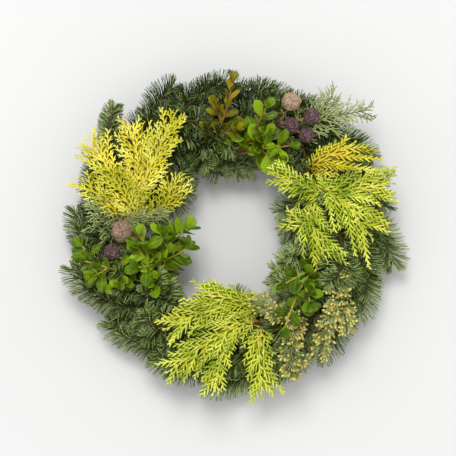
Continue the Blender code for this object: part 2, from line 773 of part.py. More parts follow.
def free_leaf(name, base, outwards, forward, upwards, clearance):
    for lean, size in ((48, 1), (60, 1), (36, 1), (72, 0.9), (48, 0.8), (30, 0.8), (60, 0.65)):
        angle = math.radians(lean)
        direction = unit(outwards * math.sin(angle) + forward * math.cos(angle) + 0.22 * upwards)
        length = LEAF_LENGTH * size * random.uniform(0.92, 1.05)
        width = length * 0.56
        facing = unit(upwards * 0.8 + unit(forward * math.sin(angle) - outwards * math.cos(angle)) * 0.6)
        sections, apex = leaf_sections(base, direction, facing, length, width)
        root = base + direction * 0.004
        veins = []
        for across in (0, 0.25, 0.5, 0.75, 1):
            inner = [section[0] * across + section[1] * (1 - across) for section in sections]
            veins.append([root] + inner + [apex])
        if all(clearance.free_line(name, vein, 0.0009, 1) for vein in veins):
            for vein in veins:
                clearance.add_line(name, vein, 0.0009, 2)
            return sections, apex
    return None


def cone_shape(centre, axis, radius):
    """A round cone of twelve shield scales, each raised with a small point in its middle."""
    golden = (1 + math.sqrt(5)) / 2
    middles = [np.array(middle, float) for first in (-1, 1) for second in (-golden, golden)
               for middle in ((0, first, second), (first, second, 0), (second, 0, first))]
    up = unit(axis)
    across = unit(np.cross(up, (0.31, 0.52, 0.79)))
    turned = np.column_stack((across, np.cross(up, across), up))
    middles = [turned @ unit(middle) for middle in middles]
    shape = Shape()
    corners = {}
    for scale, middle in enumerate(middles):
        others = [other for other in range(12) if other != scale]
        near = sorted(others, key=lambda o: -middles[o].dot(middle))[:5]
        side = unit(middles[near[0]] - middle * middle.dot(middles[near[0]]))
        near.sort(key=lambda o: math.atan2(np.cross(middle, side).dot(middles[o]), side.dot(middles[o])))
        rim = []
        for first, second in zip(near, near[1:] + near[:1]):
            key = tuple(sorted((scale, first, second)))
            if key not in corners:
                between = unit(middle + middles[first] + middles[second])
                corners[key] = shape.corner(centre + 0.86 * radius * between)
            rim.append(corners[key])
        raised = []
        for corner in rim:
            spoke = np.array(shape.corners[corner]) - centre
            raised.append(shape.corner(centre + radius * unit(0.72 * unit(spoke) + 0.28 * middle)))
        point = shape.corner(centre + 1.10 * radius * middle)
        for index in range(5):
            after = (index + 1) % 5
            shape.faces.append([rim[index], rim[after], raised[after], raised[index]])
            shape.faces.append([raised[index], raised[after], point])
    return shape


def main():
    for leftover in list(bpy.data.objects):
        bpy.data.objects.remove(leftover)
    random.seed(5)
    clearance = Clearance()
    straw_ring(clearance)
    binding_wire(clearance)

    # Every stem first, so that each piece reaches the ring
    gold_stems = {}
    for kind, (focus, colour, fans) in GOLD_BUNCHES.items():
        for number, (bearing, reach, height, half_width) in enumerate(fans, 1):
            name = f"gold_{kind}_{number}"
            spread = 2.2 * (number - (len(fans) + 1) / 2)
            tilt = (random.uniform(-0.2, 0.2), random.uniform(-0.2, 0.2), 1)
            path = risen_stem(name, focus, spread, (bearing, reach, height), 0.046, clearance, facing=tilt)
            gold_stems[name] = path, half_width, colour
    forked = {}
    for name, (focus, cones) in CONE_TWIGS.items():
        tips = [cone[:3] for cone in cones]
        stem = risen_stem(name, focus, 0, tips[0], 0.03, clearance)
        forked[name] = shoots(name, stem, 0.66, tips[1:], STEM_RADIUS, clearance)
    for name, (focus, _, _, tips) in LEAFY_SPRIGS.items():
        stem = risen_stem(name, focus, 0, tips[0], 0.04, clearance)
        forked[name] = shoots(name, stem, 0.35, tips[1:], STEM_RADIUS, clearance)
    for name, (focus, _, tips) in THREAD_SPRAYS.items():
        stem = risen_stem(name, focus, 0, tips[0], 0.034, clearance, THREAD_CORE)
        forked[name] = shoots(name, stem, 0.4, tips[1:], THREAD_CORE, clearance)
    stems = fir_stems(clearance)

    # What grows on them, from the stiffest to the softest
    for name, (_, cones) in CONE_TWIGS.items():
        bars, heads = [], []
        for path, (bearing, reach, height, size) in zip(forked[name], cones):
            radius = CONE_RADIUS * size
            stations = stations_to(path, path.length - 0.4 * radius)
            bars.append(tube(path, stations, [STEM_RADIUS] * len(stations)))
            centre = polar(bearing, reach, height)
            heads.append(cone_shape(centre, path.tangents[-1], radius))
            clearance.add(name, centre, centre + np.array((0, 0, 1e-5)), radius * 1.14, 9)
        coloured(joined(name, bars + heads), CONE_BROWN)
    for name, (_, colour, pairs, _) in LEAFY_SPRIGS.items():
        shapes = [leafy_shoot(name, path, pairs, clearance) for path in forked[name]]
        coloured(joined(name, shapes), colour, 0.35)
    for name, (path, half_width, colour) in gold_stems.items():
        coloured(gold_fan(name, path, half_width, clearance).to_object(name), colour, 0.5)
    for name, (_, buds, _) in THREAD_SPRAYS.items():
        shapes = []
        for number, path in enumerate(forked[name]):
            bare = path.length * (0.15 if number else 0.38)
            grown, thick = (budded, 0.0015) if buds else (sharp, 0.0007)
            shapes.append(needled_twig(name, path, bare, THREAD_CORE, 0.0145, 0.002, thread_tip, grown, thick,
                                       number + 1, clearance))
        coloured(joined(name, shapes), BUD_GREEN if buds else BLUE_GREEN)
    for name, forks in stems.items():
        shapes = []
        for number, path in enumerate(forks, 1):
            bare = 0.005 if number > 1 else path.lengths[2] + 0.004
            shapes.append(needled_twig(name, path, bare, FIR_CORE, FIR_BAND, WHORL, fir_tip, sharp, 0.0007,
                                       number, clearance))
        coloured(joined(name, shapes), FIR_GREEN)


main()
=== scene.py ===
"""An evergreen wreath lying on its back on a pale floor, seen from straight above.

Metres, +Z up, out of the wreath's face. The origin is under the middle of the straw ring, on the floor.
A bearing is an angle in degrees clockwise from +Y, as on a clock face seen from above. The tables give a
place by its bearing, its reach from the middle and its height, the last two in millimetres.
"""

import json
import math
import random

import bpy
import numpy as np
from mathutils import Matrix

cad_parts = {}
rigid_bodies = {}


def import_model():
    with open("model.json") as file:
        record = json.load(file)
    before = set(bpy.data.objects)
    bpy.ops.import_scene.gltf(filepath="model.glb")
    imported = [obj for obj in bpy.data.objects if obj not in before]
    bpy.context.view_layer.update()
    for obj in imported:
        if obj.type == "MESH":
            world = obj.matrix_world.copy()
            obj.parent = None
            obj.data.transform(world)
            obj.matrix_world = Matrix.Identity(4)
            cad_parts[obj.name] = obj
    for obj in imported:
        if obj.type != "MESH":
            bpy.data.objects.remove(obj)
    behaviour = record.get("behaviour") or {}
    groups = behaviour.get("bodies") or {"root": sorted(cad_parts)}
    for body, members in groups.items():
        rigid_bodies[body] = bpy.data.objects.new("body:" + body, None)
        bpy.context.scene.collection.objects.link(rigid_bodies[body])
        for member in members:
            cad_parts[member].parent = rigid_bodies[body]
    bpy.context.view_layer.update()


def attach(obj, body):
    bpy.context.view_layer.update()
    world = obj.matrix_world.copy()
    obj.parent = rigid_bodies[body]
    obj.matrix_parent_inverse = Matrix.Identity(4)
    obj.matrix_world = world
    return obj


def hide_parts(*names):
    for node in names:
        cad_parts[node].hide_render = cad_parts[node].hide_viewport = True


for leftover in list(bpy.data.objects):
    bpy.data.objects.remove(leftover)
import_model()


# The straw ring carries everything. It is rye straw pressed into a ring and bound with thin thread, bought
# ready made. The sprigs hide it from the front, and its back stays bare.
RING_RADIUS = 0.106
STRAW_RADIUS = 0.0155
RING_HEIGHT = 0.0141
WIRE_TURNS = 15
WIRE_GROOVE = 0.003
LOOSE_STRAWS = 420
THREAD_TURNS = 44
THREAD_RADIUS = 0.00028


def unit(vectors):
    return vectors / np.linalg.norm(vectors, axis=-1, keepdims=True)


def joined(*parts):
    """Numbers, or arrays of them, side by side along a new last axis."""
    return np.stack(np.broadcast_arrays(*parts), axis=-1)


def polar(bearing, reach, height):
    angle = np.radians(bearing)
    return joined(reach * np.sin(angle), reach * np.cos(angle), height)


def clockwise(bearing):
    return polar(bearing + 90, 1, 0)


def on_ring(bearing, round_straw, lift):
    """A point that far outside the straw's surface. round_straw is 0 outermost, 90 on top, 180 innermost."""
    angle, distance = np.radians(round_straw), STRAW_RADIUS + lift
    return polar(bearing, RING_RADIUS + distance * np.cos(angle), RING_HEIGHT + distance * np.sin(angle))


def over_floor(points, least):
    return np.maximum(points, (-np.inf, -np.inf, least))


def groove(bearing, round_straw):
    """How deep the wire has drawn the straw in there."""
    turns = bearing * WIRE_TURNS / 360 - round_straw / 360
    off = np.abs(turns - np.round(turns)) * 360 / WIRE_TURNS
    return WIRE_GROOVE * np.exp(-(off / 3.4) ** 2)


def put_in_scene(name, data, place=(0, 0, 0)):
    made = bpy.data.objects.new(name, data)
    made.location = place
    bpy.context.scene.collection.objects.link(made)
    return made


class Growth:
    """The mesh of one piece while it is made. A corner's tint is how far along its needle, leaf or straw it
    is, a number drawn for that one, and how far across it is, all from 0 to 1."""

    def __init__(self):
        self.corners, self.faces, self.tints, self.finishes = [], [], [], []
        self.count = 0

    def add(self, corners, faces, tints, finish):
        faces = np.concatenate([block.reshape(-1, 3) for block in faces])
        self.corners.append(corners.reshape(-1, 3))
        self.faces.append(faces + self.count)
        self.tints.append(np.broadcast_to(tints, corners.shape).reshape(-1, 3))
        self.finishes.append(np.full(len(faces), finish))
        self.count += len(self.corners[-1])

    def rods(self, spines, radius, across, up, tints, sides=4, finish=0, turn=0.0, rooted=False):
        """A bar along a line of stations, or one along each of many. radius and the parts of tints go by
        station too, across and up point to its sides. A rooted bar's near end is sunk and left open."""
        spines = spines.reshape(-1, *spines.shape[-2:])
        radius = np.reshape(radius, np.shape(radius) + (1,))
        across, up = (np.broadcast_to(way * radius, spines.shape) for way in (across, up))
        ahead = np.cross(across[:, 0], up[:, 0])
        flip = np.where((ahead * (spines[:, 1] - spines[:, 0])).sum(-1) < 0, -1, 1)[:, None, None]
        angles = 2 * math.pi * (np.arange(sides)[:, None] + turn) / sides
        corners = (spines[:, :, None] + np.cos(angles) * (across * flip)[:, :, None]
                   + np.sin(angles) * up[:, :, None])
        index = np.arange(corners.size // 3).reshape(corners.shape[:3])
        low, high = index[:, :-1], index[:, 1:]
        low_next, high_next = np.roll(low, -1, axis=2), np.roll(high, -1, axis=2)
        faces = [joined(low, low_next, high), joined(low_next, high_next, high)]
        for second in range(1, sides - 1):
            faces.append(index[:, -1, [0, second, second + 1]])
            if not rooted:
                faces.append(index[:, 0, [0, second + 1, second]])
        self.add(corners, faces, np.broadcast_to(joined(*tints), spines.shape)[:, :, None], finish)

    def sheet(self, corners, tints, finish=0, wraps=(0, 0)):
        """A grid of corners, by row and column, with faces between them. wraps closes it along either."""
        index = np.arange(corners.size // 3).reshape(corners.shape[:2])
        index = np.pad(index, ((0, wraps[0]), (0, wraps[1])), "wrap")
        a, b, c, d = index[:-1, :-1], index[1:, :-1], index[1:, 1:], index[:-1, 1:]
        self.add(corners, (joined(a, b, c), joined(a, c, d)), joined(*tints), finish)

    def to_piece(self, node, suffix, finishes):
        """Puts the piece in the scene, where it stands for its node of the frame and is bound to the ring."""
        mesh = bpy.data.meshes.new(node + suffix)
        corners, faces = np.vstack(self.corners).tolist(), np.vstack(self.faces).tolist()
        mesh.from_pydata(corners, [], faces, shade_flat=False)
        mesh.polygons.foreach_set("material_index", np.concatenate(self.finishes).astype(np.int32))
        tints = np.column_stack((np.vstack(self.tints), np.ones(self.count)))
        mesh.color_attributes.new("tint", "FLOAT_COLOR", "POINT").data.foreach_set("color", tints.ravel())
        mesh.update()
        for finish in finishes:
            mesh.materials.append(finish)
        piece = put_in_scene(node + suffix, mesh)
        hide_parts(node)
        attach(piece, "root")


class Finish:
    """A material under construction, with short ways to add the nodes that all of them use."""

    def __init__(self, name, roughness, specular=0.5):
        self.material = bpy.data.materials.new(name)
        self.material.use_nodes = True
        self.tree = self.material.node_tree
        self.surface = self.tree.nodes["Principled BSDF"]
        self.set("Roughness", roughness)
        self.set("Specular IOR Level", specular)
        tint = self.node("Attribute", {}, attribute_name="tint")
        self.along, self.drawn, self.across = self.node("SeparateXYZ", {0: tint.outputs["Vector"]}).outputs

    def put(self, socket, value):
        if isinstance(value, bpy.types.NodeSocket):
            self.tree.links.new(value, socket)
        else:
            socket.default_value = (*value, 1) if socket.type == "RGBA" else value

    def set(self, name, value):
        self.put(self.surface.inputs[name], value)

    def node(self, kind, sources, **settings):
        """A new node with those settings, and with values or other nodes' outputs put in its inputs."""
        node = self.tree.nodes.new("ShaderNode" + kind)
        for setting, value in settings.items():
            setattr(node, setting, value)
        for name, value in sources.items():
            self.put(node.inputs[name], value)
        return node

    def noise(self, scale, detail=3.0, stretch=(1, 1, 1)):
        place = self.node("TexCoord", {}).outputs["Object"]
        if stretch != (1, 1, 1):
            place = self.node("Mapping", {"Vector": place, "Scale": stretch}).outputs[0]
        return self.node("TexNoise", {"Vector": place, "Scale": scale, "Detail": detail}).outputs["Fac"]

    def ramp(self, source, *stops):
        """Colours, or grey levels, at places from 0 to 1 of the source."""
        ramp = self.node("ValToRGB", {"Fac": source})
        elements = ramp.color_ramp.elements
        while len(elements) < len(stops):
            elements.new(0.5)
        for element, (place, colour) in zip(elements, stops):
            element.position = place
            element.color = (*colour, 1) if isinstance(colour, tuple) else (colour, colour, colour, 1)
        return ramp.outputs["Color"]

    def mix(self, factor, first, second, blend="MIX"):
        sources = {0: factor, 6: first, 7: second}
        return self.node("Mix", sources, data_type="RGBA", blend_type=blend).outputs[2]

    def blotches(self, scale, detail, low, high, share, under, over):
        """The one colour with blotches of the other, which cover that share where the noise is highest."""
        return self.mix(self.ramp(self.noise(scale, detail), (low, 0), (high, share)), under, over)

    def math(self, operation, *values):
        return self.node("Math", dict(enumerate(values)), operation=operation).outputs[0]

    def bump(self, height, strength, distance):
        bump = self.node("Bump", {"Height": height, "Strength": strength, "Distance": distance})
        self.set("Normal", bump.outputs[0])


def straw_finish():
    finish = Finish("straw", 0.6, 0.35)
    fibres = finish.noise(900, 4, (0.35, 0.35, 1))
    tone = finish.ramp(finish.drawn, (0, (0.3, 0.2, 0.075)), (0.45, (0.52, 0.38, 0.15)),
                       (1, (0.7, 0.57, 0.27)))
    blotched = finish.blotches(55, 3, 0.35, 0.75, 0.6, tone, (0.26, 0.17, 0.07))
    shaded = finish.ramp(fibres, (0.3, 0.5), (0.7, 1))
    finish.set("Base Color", finish.mix(0.35, blotched, shaded, "MULTIPLY"))
    finish.bump(fibres, 0.5, 0.0004)
    return finish.material


def thread_finish():
    finish = Finish("binding_thread", 0.5, 0.4)
    twist = finish.ramp(finish.noise(2200, 2), (0.35, (0.45, 0.4, 0.3)), (0.65, (0.72, 0.68, 0.58)))
    finish.set("Base Color", twist)
    finish.bump(twist, 0.4, 0.0002)
    return finish.material


def make_straw_ring():
    picks = np.random.default_rng(11)
    growth = Growth()
    bearing, turn = np.meshgrid(np.arange(358, -1, -2), np.arange(0, 360, 15), indexing="ij")
    body = over_floor(on_ring(bearing, turn, -0.0012 - groove(bearing, turn)), 0.0004)
    growth.sheet(body, (bearing / 360, 0.2, turn / 360), wraps=(1, 1))

    each = (LOOSE_STRAWS, 1)
    stations = np.linspace(-0.5, 0.5, 9)
    start, length = picks.uniform(0, 360, each), picks.uniform(22, 60, each)
    turn = picks.uniform(0, 360, each) + picks.uniform(-14, 14, each) * stations
    bearing = start + length * stations
    lift = picks.uniform(-0.0012, -0.0004, each) - groove(bearing, turn)
    spines = over_floor(on_ring(bearing, turn, lift), 0.0007)
    outwards = unit(spines - polar(bearing, RING_RADIUS, RING_HEIGHT))
    aside = np.cross(outwards, clockwise(bearing)) * picks.uniform(0.0007, 0.0013, (LOOSE_STRAWS, 1, 1))
    drawn = picks.uniform(0, 1, each)
    growth.rods(spines, 1, aside, outwards * 0.0006, (stations + 0.5, drawn, drawn))

    turn = 360 * np.arange(0, THREAD_TURNS, 1 / 18)
    bearing = turn / THREAD_TURNS
    spine = over_floor(on_ring(bearing, turn, 0.0002 - groove(bearing, turn)), 0.0004)
    outwards = unit(spine - polar(bearing, RING_RADIUS, RING_HEIGHT))
    growth.rods(spine, THREAD_RADIUS, clockwise(bearing), outwards, (0.5, 0.5, 0.5), finish=1)
    growth.to_piece("straw_ring", "_bound", [straw_finish(), thread_finish()])


make_straw_ring()


# One green florist's wire is wound round the ring and over the stems of all the sprigs. It is painted iron,
# pulled tight, so that it bites into the straw underneath.
WIRE_RADIUS = 0.0004
WIRE_OVER_STEMS = 0.0215
BARE_UNDERSIDE = (235, 305)
GAP = 0.0003
# Half the width and half the height of the hole, which no stem or needle reaches into.
HOLE = (0.041, 0.048)


class Clearance:
    """The ring, the wire and all the stems so far, as round-ended rods that the next stem keeps clear of."""

    def __init__(self):
        self.starts, self.ends = np.zeros((0, 3)), np.zeros((0, 3))
        self.radii, self.names = np.zeros(0), np.zeros(0, str)

    def add_line(self, name, points, radius):
        count = len(points) - 1
        self.starts = np.vstack((self.starts, points[:-1]))
        self.ends = np.vstack((self.ends, points[1:] + np.array((0, 0, 1e-7))))
        self.radii = np.append(self.radii, [radius] * count)
        self.names = np.append(self.names, [name] * count)

    def free(self, name, start, end, radius):
        for place in (start, (start + end) / 2, end):
            if place[2] < radius + GAP or ((place[:2] / HOLE) ** 2).sum() < 1:
                return False
        others = self.names != name
        starts, ends, radii = self.starts[others], self.ends[others], self.radii[others]
        along, across, apart = end - start, ends - starts, start - starts
        a, e = along @ along, (across * across).sum(1)
        b, c, f = across @ along, apart @ along, (across * apart).sum(1)
        spread = a * e - b * b
        s = np.clip((b * f - c * e) / np.where(spread > 1e-16, spread, np.inf), 0, 1)
        t = np.clip((b * s + f) / e, 0, 1)
        s = np.clip((b * t - c) / a, 0, 1)
        gaps = np.linalg.norm(apart + s[:, None] * along - t[:, None] * across, axis=1)
        return bool((gaps > radii + radius + GAP).all())

    def free_line(self, name, points, radius):
        return all(self.free(name, start, end, radius) for start, end in zip(points, points[1:]))


clearance = Clearance()
clearance.add_line("straw_ring", polar(np.arange(0, 361, 5), RING_RADIUS, RING_HEIGHT), STRAW_RADIUS)


def wire_finish():
    finish = Finish("green_wire", 0.38)
    worn = finish.ramp(finish.noise(500), (0.4, (0.02, 0.062, 0.028)), (0.72, (0.1, 0.12, 0.09)))
    finish.set("Base Color", worn)
    finish.set("Roughness", finish.ramp(finish.noise(700), (0.3, 0.28), (0.7, 0.55)))
    return finish.material


def make_binding_wire():
    turns = (np.arange(1, WIRE_TURNS * 8 - 1) + 0.5) / 8
    angle = 360 * turns
    bare = (angle % 360 > BARE_UNDERSIDE[0]) & (angle % 360 < BARE_UNDERSIDE[1])
    lift = np.where(bare, 2 * GAP + 2 * WIRE_RADIUS - WIRE_GROOVE, WIRE_OVER_STEMS - STRAW_RADIUS)
    spine = on_ring(angle / WIRE_TURNS, angle, lift)
    clearance.add_line("binding_wire", spine, WIRE_RADIUS)
    for _ in range(2):
        cut = np.stack((0.75 * spine[:-1] + 0.25 * spine[1:], 0.25 * spine[:-1] + 0.75 * spine[1:]), axis=1)
        spine = np.vstack((spine[:1], cut.reshape(-1, 3), spine[-1:]))
    ahead = unit(np.gradient(spine, axis=0))
    aside = unit(np.cross(ahead, unit(spine * (1, 1, 0))))
    growth = Growth()
    growth.rods(spine, WIRE_RADIUS, aside, np.cross(aside, ahead), (0.5, 0.5, 0.5), 6)
    growth.to_piece("binding_wire", "_wound", [wire_finish()])


make_binding_wire()


# Golden false cypress, cut as flat fans and bound to the ring by their woody stems in three bunches: yellow
# at the upper left, yellow-green at the right and the bottom. Tiny pressed scales sheathe every branchlet.
STEM_RADIUS = 0.0013
STEM_LIFT = 0.0002 + GAP + 0.0015
SPRIG_ARC = 9
NUDGES = [(turn, shift) for shift in (0, 2, -2, 4, -4, 6, -6, 8, -8, 11, -11)
          for turn in (0, 6, -6, 12, -12, 18, -18, 26, -26, 34, -34)]
FAN_BRANCH_ANGLE = math.radians(38)
FAN_BRANCH_EVERY = 0.0058
SCALE_LEAF = 0.0021
BRANCH_WIDTH = 0.0013
# By bunch: where it is bound, and each fan's tip, half width (in millimetres too) and, if not 1, its
# growth to the left and right.
GOLD_BUNCHES = {
    "left": ((277, 101), [
        (304, 172, 66, 25), (318, 152, 78, 26), (336, 130, 90, 24), (315, 80, 74, 21),
        (290, 158, 58, 22, 0.85, 1),
    ]),
    "right": ((63, 104), [
        (54, 151, 80, 28, 0.72, 1.35), (73, 168, 66, 28, 1.1, 1.1), (92, 140, 78, 28, 1.2, 1.35),
        (106, 100, 70, 23, 1.35, 1.2), (76, 56, 54, 21), (34, 70, 86, 20, 1.15, 1.15),
    ]),
    "bottom": ((158, 96), [
        (210, 70, 66, 21), (214, 114, 78, 25, 1, 1.15), (204, 150, 70, 25, 1.15, 1),
        (186, 158, 82, 23, 0.72, 1.05), (169, 166, 62, 21, 1.15, 1.08),
    ]),
}


class Path:
    """A line through space, measured by length, with a frame that turns no more than the line does."""

    def __init__(self, points, facing=(0, 0, 1)):
        self.points, self.facing = np.array(points, float), facing
        steps = np.linalg.norm(np.diff(self.points, axis=0), axis=1)
        self.lengths = np.append(0, np.cumsum(steps))
        self.length = self.lengths[-1]
        self.tangents = unit(np.gradient(self.points, axis=0))
        normal, normals = np.array(facing, float), []
        for tangent in self.tangents[::-1]:
            normal = unit(normal - tangent * normal.dot(tangent))
            normals.append(normal)
        self.normals = np.array(normals[::-1])

    def at(self, length):
        """Place, direction, upper side and right-hand side at that length along the line, or at many."""
        place, tangent, normal = (joined(*(np.interp(length, self.lengths, axis) for axis in values.T))
                                  for values in (self.points, self.tangents, self.normals))
        tangent = unit(tangent)
        normal = unit(normal - tangent * (normal * tangent).sum(-1, keepdims=True))
        return place, tangent, normal, np.cross(tangent, normal)

    def smoothed(self):
        """The same line without its corners."""
        before, after = 2 * self.points[0] - self.points[1], 2 * self.points[-1] - self.points[-2]
        points = np.vstack((before, self.points, after))
        share = np.linspace(0, 1, 5)[:-1, None]
        runs = [0.5 * (2 * b + (c - a) * share + (2 * a - 5 * b + 4 * c - d) * share ** 2
                       + (3 * b - a - 3 * c + d) * share ** 3)
                for a, b, c, d in zip(points, points[1:], points[2:], points[3:])]
        return Path(np.vstack(runs + [self.points[-1:]]), self.facing)


def walk(start, strides):
    """The places along a line that starts there and goes on by those strides."""
    return start + np.insert(np.cumsum(strides, axis=-2), 0, 0, axis=-2)


def curve_points(start, handle, end, count):
    steps = np.linspace(0, 1, count)[:, None]
    return (1 - steps) ** 2 * start + 2 * steps * (1 - steps) * handle + steps ** 2 * end


def tip_at(bearing, reach, height):
    return polar(bearing, reach / 1000, height / 1000)


def under_wire(bearing, round_straw, arc):
    """The nearest bearing to this one at which a stem bound along that arc passes under the wire."""
    pitch = 360 / WIRE_TURNS
    middle = bearing + arc / 2
    turn = round((middle - pitch * round_straw / 360) / pitch)
    off = pitch * (turn + round_straw / 360) - middle
    return bearing + math.copysign(max(0, abs(off) - 0.35 * abs(arc)), off)


def bound_stem(bearing, round_straw, arc, tip, along, lift, facing=(0, 0, 1), curl=0.0):
    """A stem that lies along the ring under the wire, then rises and bends over to its tip. With curl it
    leaves the ring sooner, and turns to follow the ring again towards its tip."""
    bearing = under_wire(bearing, round_straw, arc)
    bound = [on_ring(bearing + arc * share, round_straw, STEM_LIFT) for share in (0, 0.5, 1)]
    end = bearing + arc
    distance = np.linalg.norm(tip - bound[-1])
    away = unit(bound[-1] - polar(end, RING_RADIUS, RING_HEIGHT))
    handle = bound[-1] + math.copysign(along * distance, arc) * clockwise(end) + away * lift
    tip_bearing = math.degrees(math.atan2(tip[0], tip[1]))
    handle = handle + curl * (tip - 0.55 * distance * clockwise(tip_bearing) - handle)
    return Path(bound[:-1] + list(curve_points(bound[-1], handle, tip, 9)), facing)


def settled(name, radius, bearing, round_straw, *shape):
    """The bound stem for the first nudge of its root that keeps it clear of the others."""
    for turn, shift in NUDGES:
        path = bound_stem(bearing + shift, round_straw + turn, *shape)
        if clearance.free_line(name, path.points, radius):
            break
    clearance.add_line(name, path.points, radius)
    return path


def risen_stem(name, focus, spread, tip, lift, radius=STEM_RADIUS, facing=(0, 0, 1)):
    """A stem that rises from the top of the ring, bound on whichever side of the focus its tip isn't."""
    bearing, reach = focus
    arc = math.copysign(SPRIG_ARC, (tip[0] - bearing + 180) % 360 - 180)
    round_straw = math.degrees(math.acos(max(-0.9, min(0.9, (reach / 1000 - RING_RADIUS) / STRAW_RADIUS))))
    return settled(name, radius, bearing + spread - arc, round_straw, arc, tip_at(*tip), 0.12, lift, facing)


def grow_stem(growth, path, end, thick, thin, finish=1, stations=16, sides=6, knot=0.0, ripple=None):
    """A bare stem along the first part of a path, tapering. Its tone ripples, or gets lighter all the way."""
    lengths = np.linspace(0, end, stations)
    places, _, up, aside = path.at(lengths)
    radius = np.linspace(thick, thin, stations) * (1 + knot * (np.arange(stations) % 5 == 2))
    drawn = 0.5 + ripple[0] * np.sin(lengths * ripple[1]) if ripple else lengths / end
    growth.rods(places, radius, aside, up, (0, drawn, 0), sides, finish)


def bark_finish(name, dark, light):
    finish = Finish(name, 0.65, 0.3)
    grain = finish.noise(900, 4, (1, 1, 0.4))
    tone = finish.ramp(finish.drawn, (0, dark), (1, light))
    finish.set("Base Color", finish.mix(0.5, tone, finish.ramp(grain, (0.3, 0.45), (0.7, 1)), "MULTIPLY"))
    finish.bump(grain, 0.6, 0.0003)
    return finish.material


def cypress_finish(name, deep, middle, fresh, stem, patches=None):
    """Scale leaves: deep in the fan's shade, fresh at the tips, orange-tan on older twigs, and patched with
    another tone."""
    finish = Finish(name, 0.6, 0.12)
    along = finish.ramp(finish.along, (0, stem), (0.3, deep), (0.55, middle), (1, fresh))
    varied = finish.mix(finish.ramp(finish.drawn, (0.35, 0), (1, 0.7)), along, fresh)
    patchy = finish.blotches(48, 2, 0.44, 0.66, 0.72, varied, deep)
    if patches:
        patchy = finish.blotches(22, 2, 0.42, 0.68, 0.6, patchy, patches)
    # Painted shade: the colour is darker at the narrow waists between pairs of scales.
    scales = finish.ramp(finish.across, (0, 0.6), (0.35, 0.97), (1, 1))
    finish.set("Base Color", finish.mix(0.7, patchy, scales, "MULTIPLY"))
    finish.set("Roughness", finish.ramp(finish.noise(600), (0.3, 0.5), (0.7, 0.75)))
    finish.bump(finish.across, 0.5, 0.0003)
    return finish.material


def branchlet(growth, place_of, start, heading, length, bend, width, along, drawn, rise=0.0,
              scale=SCALE_LEAF):
    """A branchlet in scale leaves, on a flat fan: its edge steps out at each pair of scales. start is its
    place on the fan and its height over it. Gives back such places along it, and its headings there."""
    steps = 2 * max(2, round(length / scale))
    shares = np.arange(steps + 1) / steps
    turns = heading + bend * shares
    spots = walk(start, (joined(np.cos(turns), np.sin(turns), rise) * length / steps)[:-1])
    places, ups = place_of(spots)
    ahead = unit(np.gradient(places, axis=0))
    aside = unit(np.cross(ahead, ups))
    stepped = np.arange(steps + 1) % 2 == 1
    wide = np.where(stepped, 1, 0.72) * width * (1.12 - 0.72 * shares)
    wide[-1] *= 0.3
    tints = (along[0] + (along[1] - along[0]) * shares, drawn, np.where(stepped, 1, 0.2))
    growth.rods(places, wide, aside, unit(np.cross(aside, ahead)) * 0.55, tints, rooted=True)
    return spots, turns


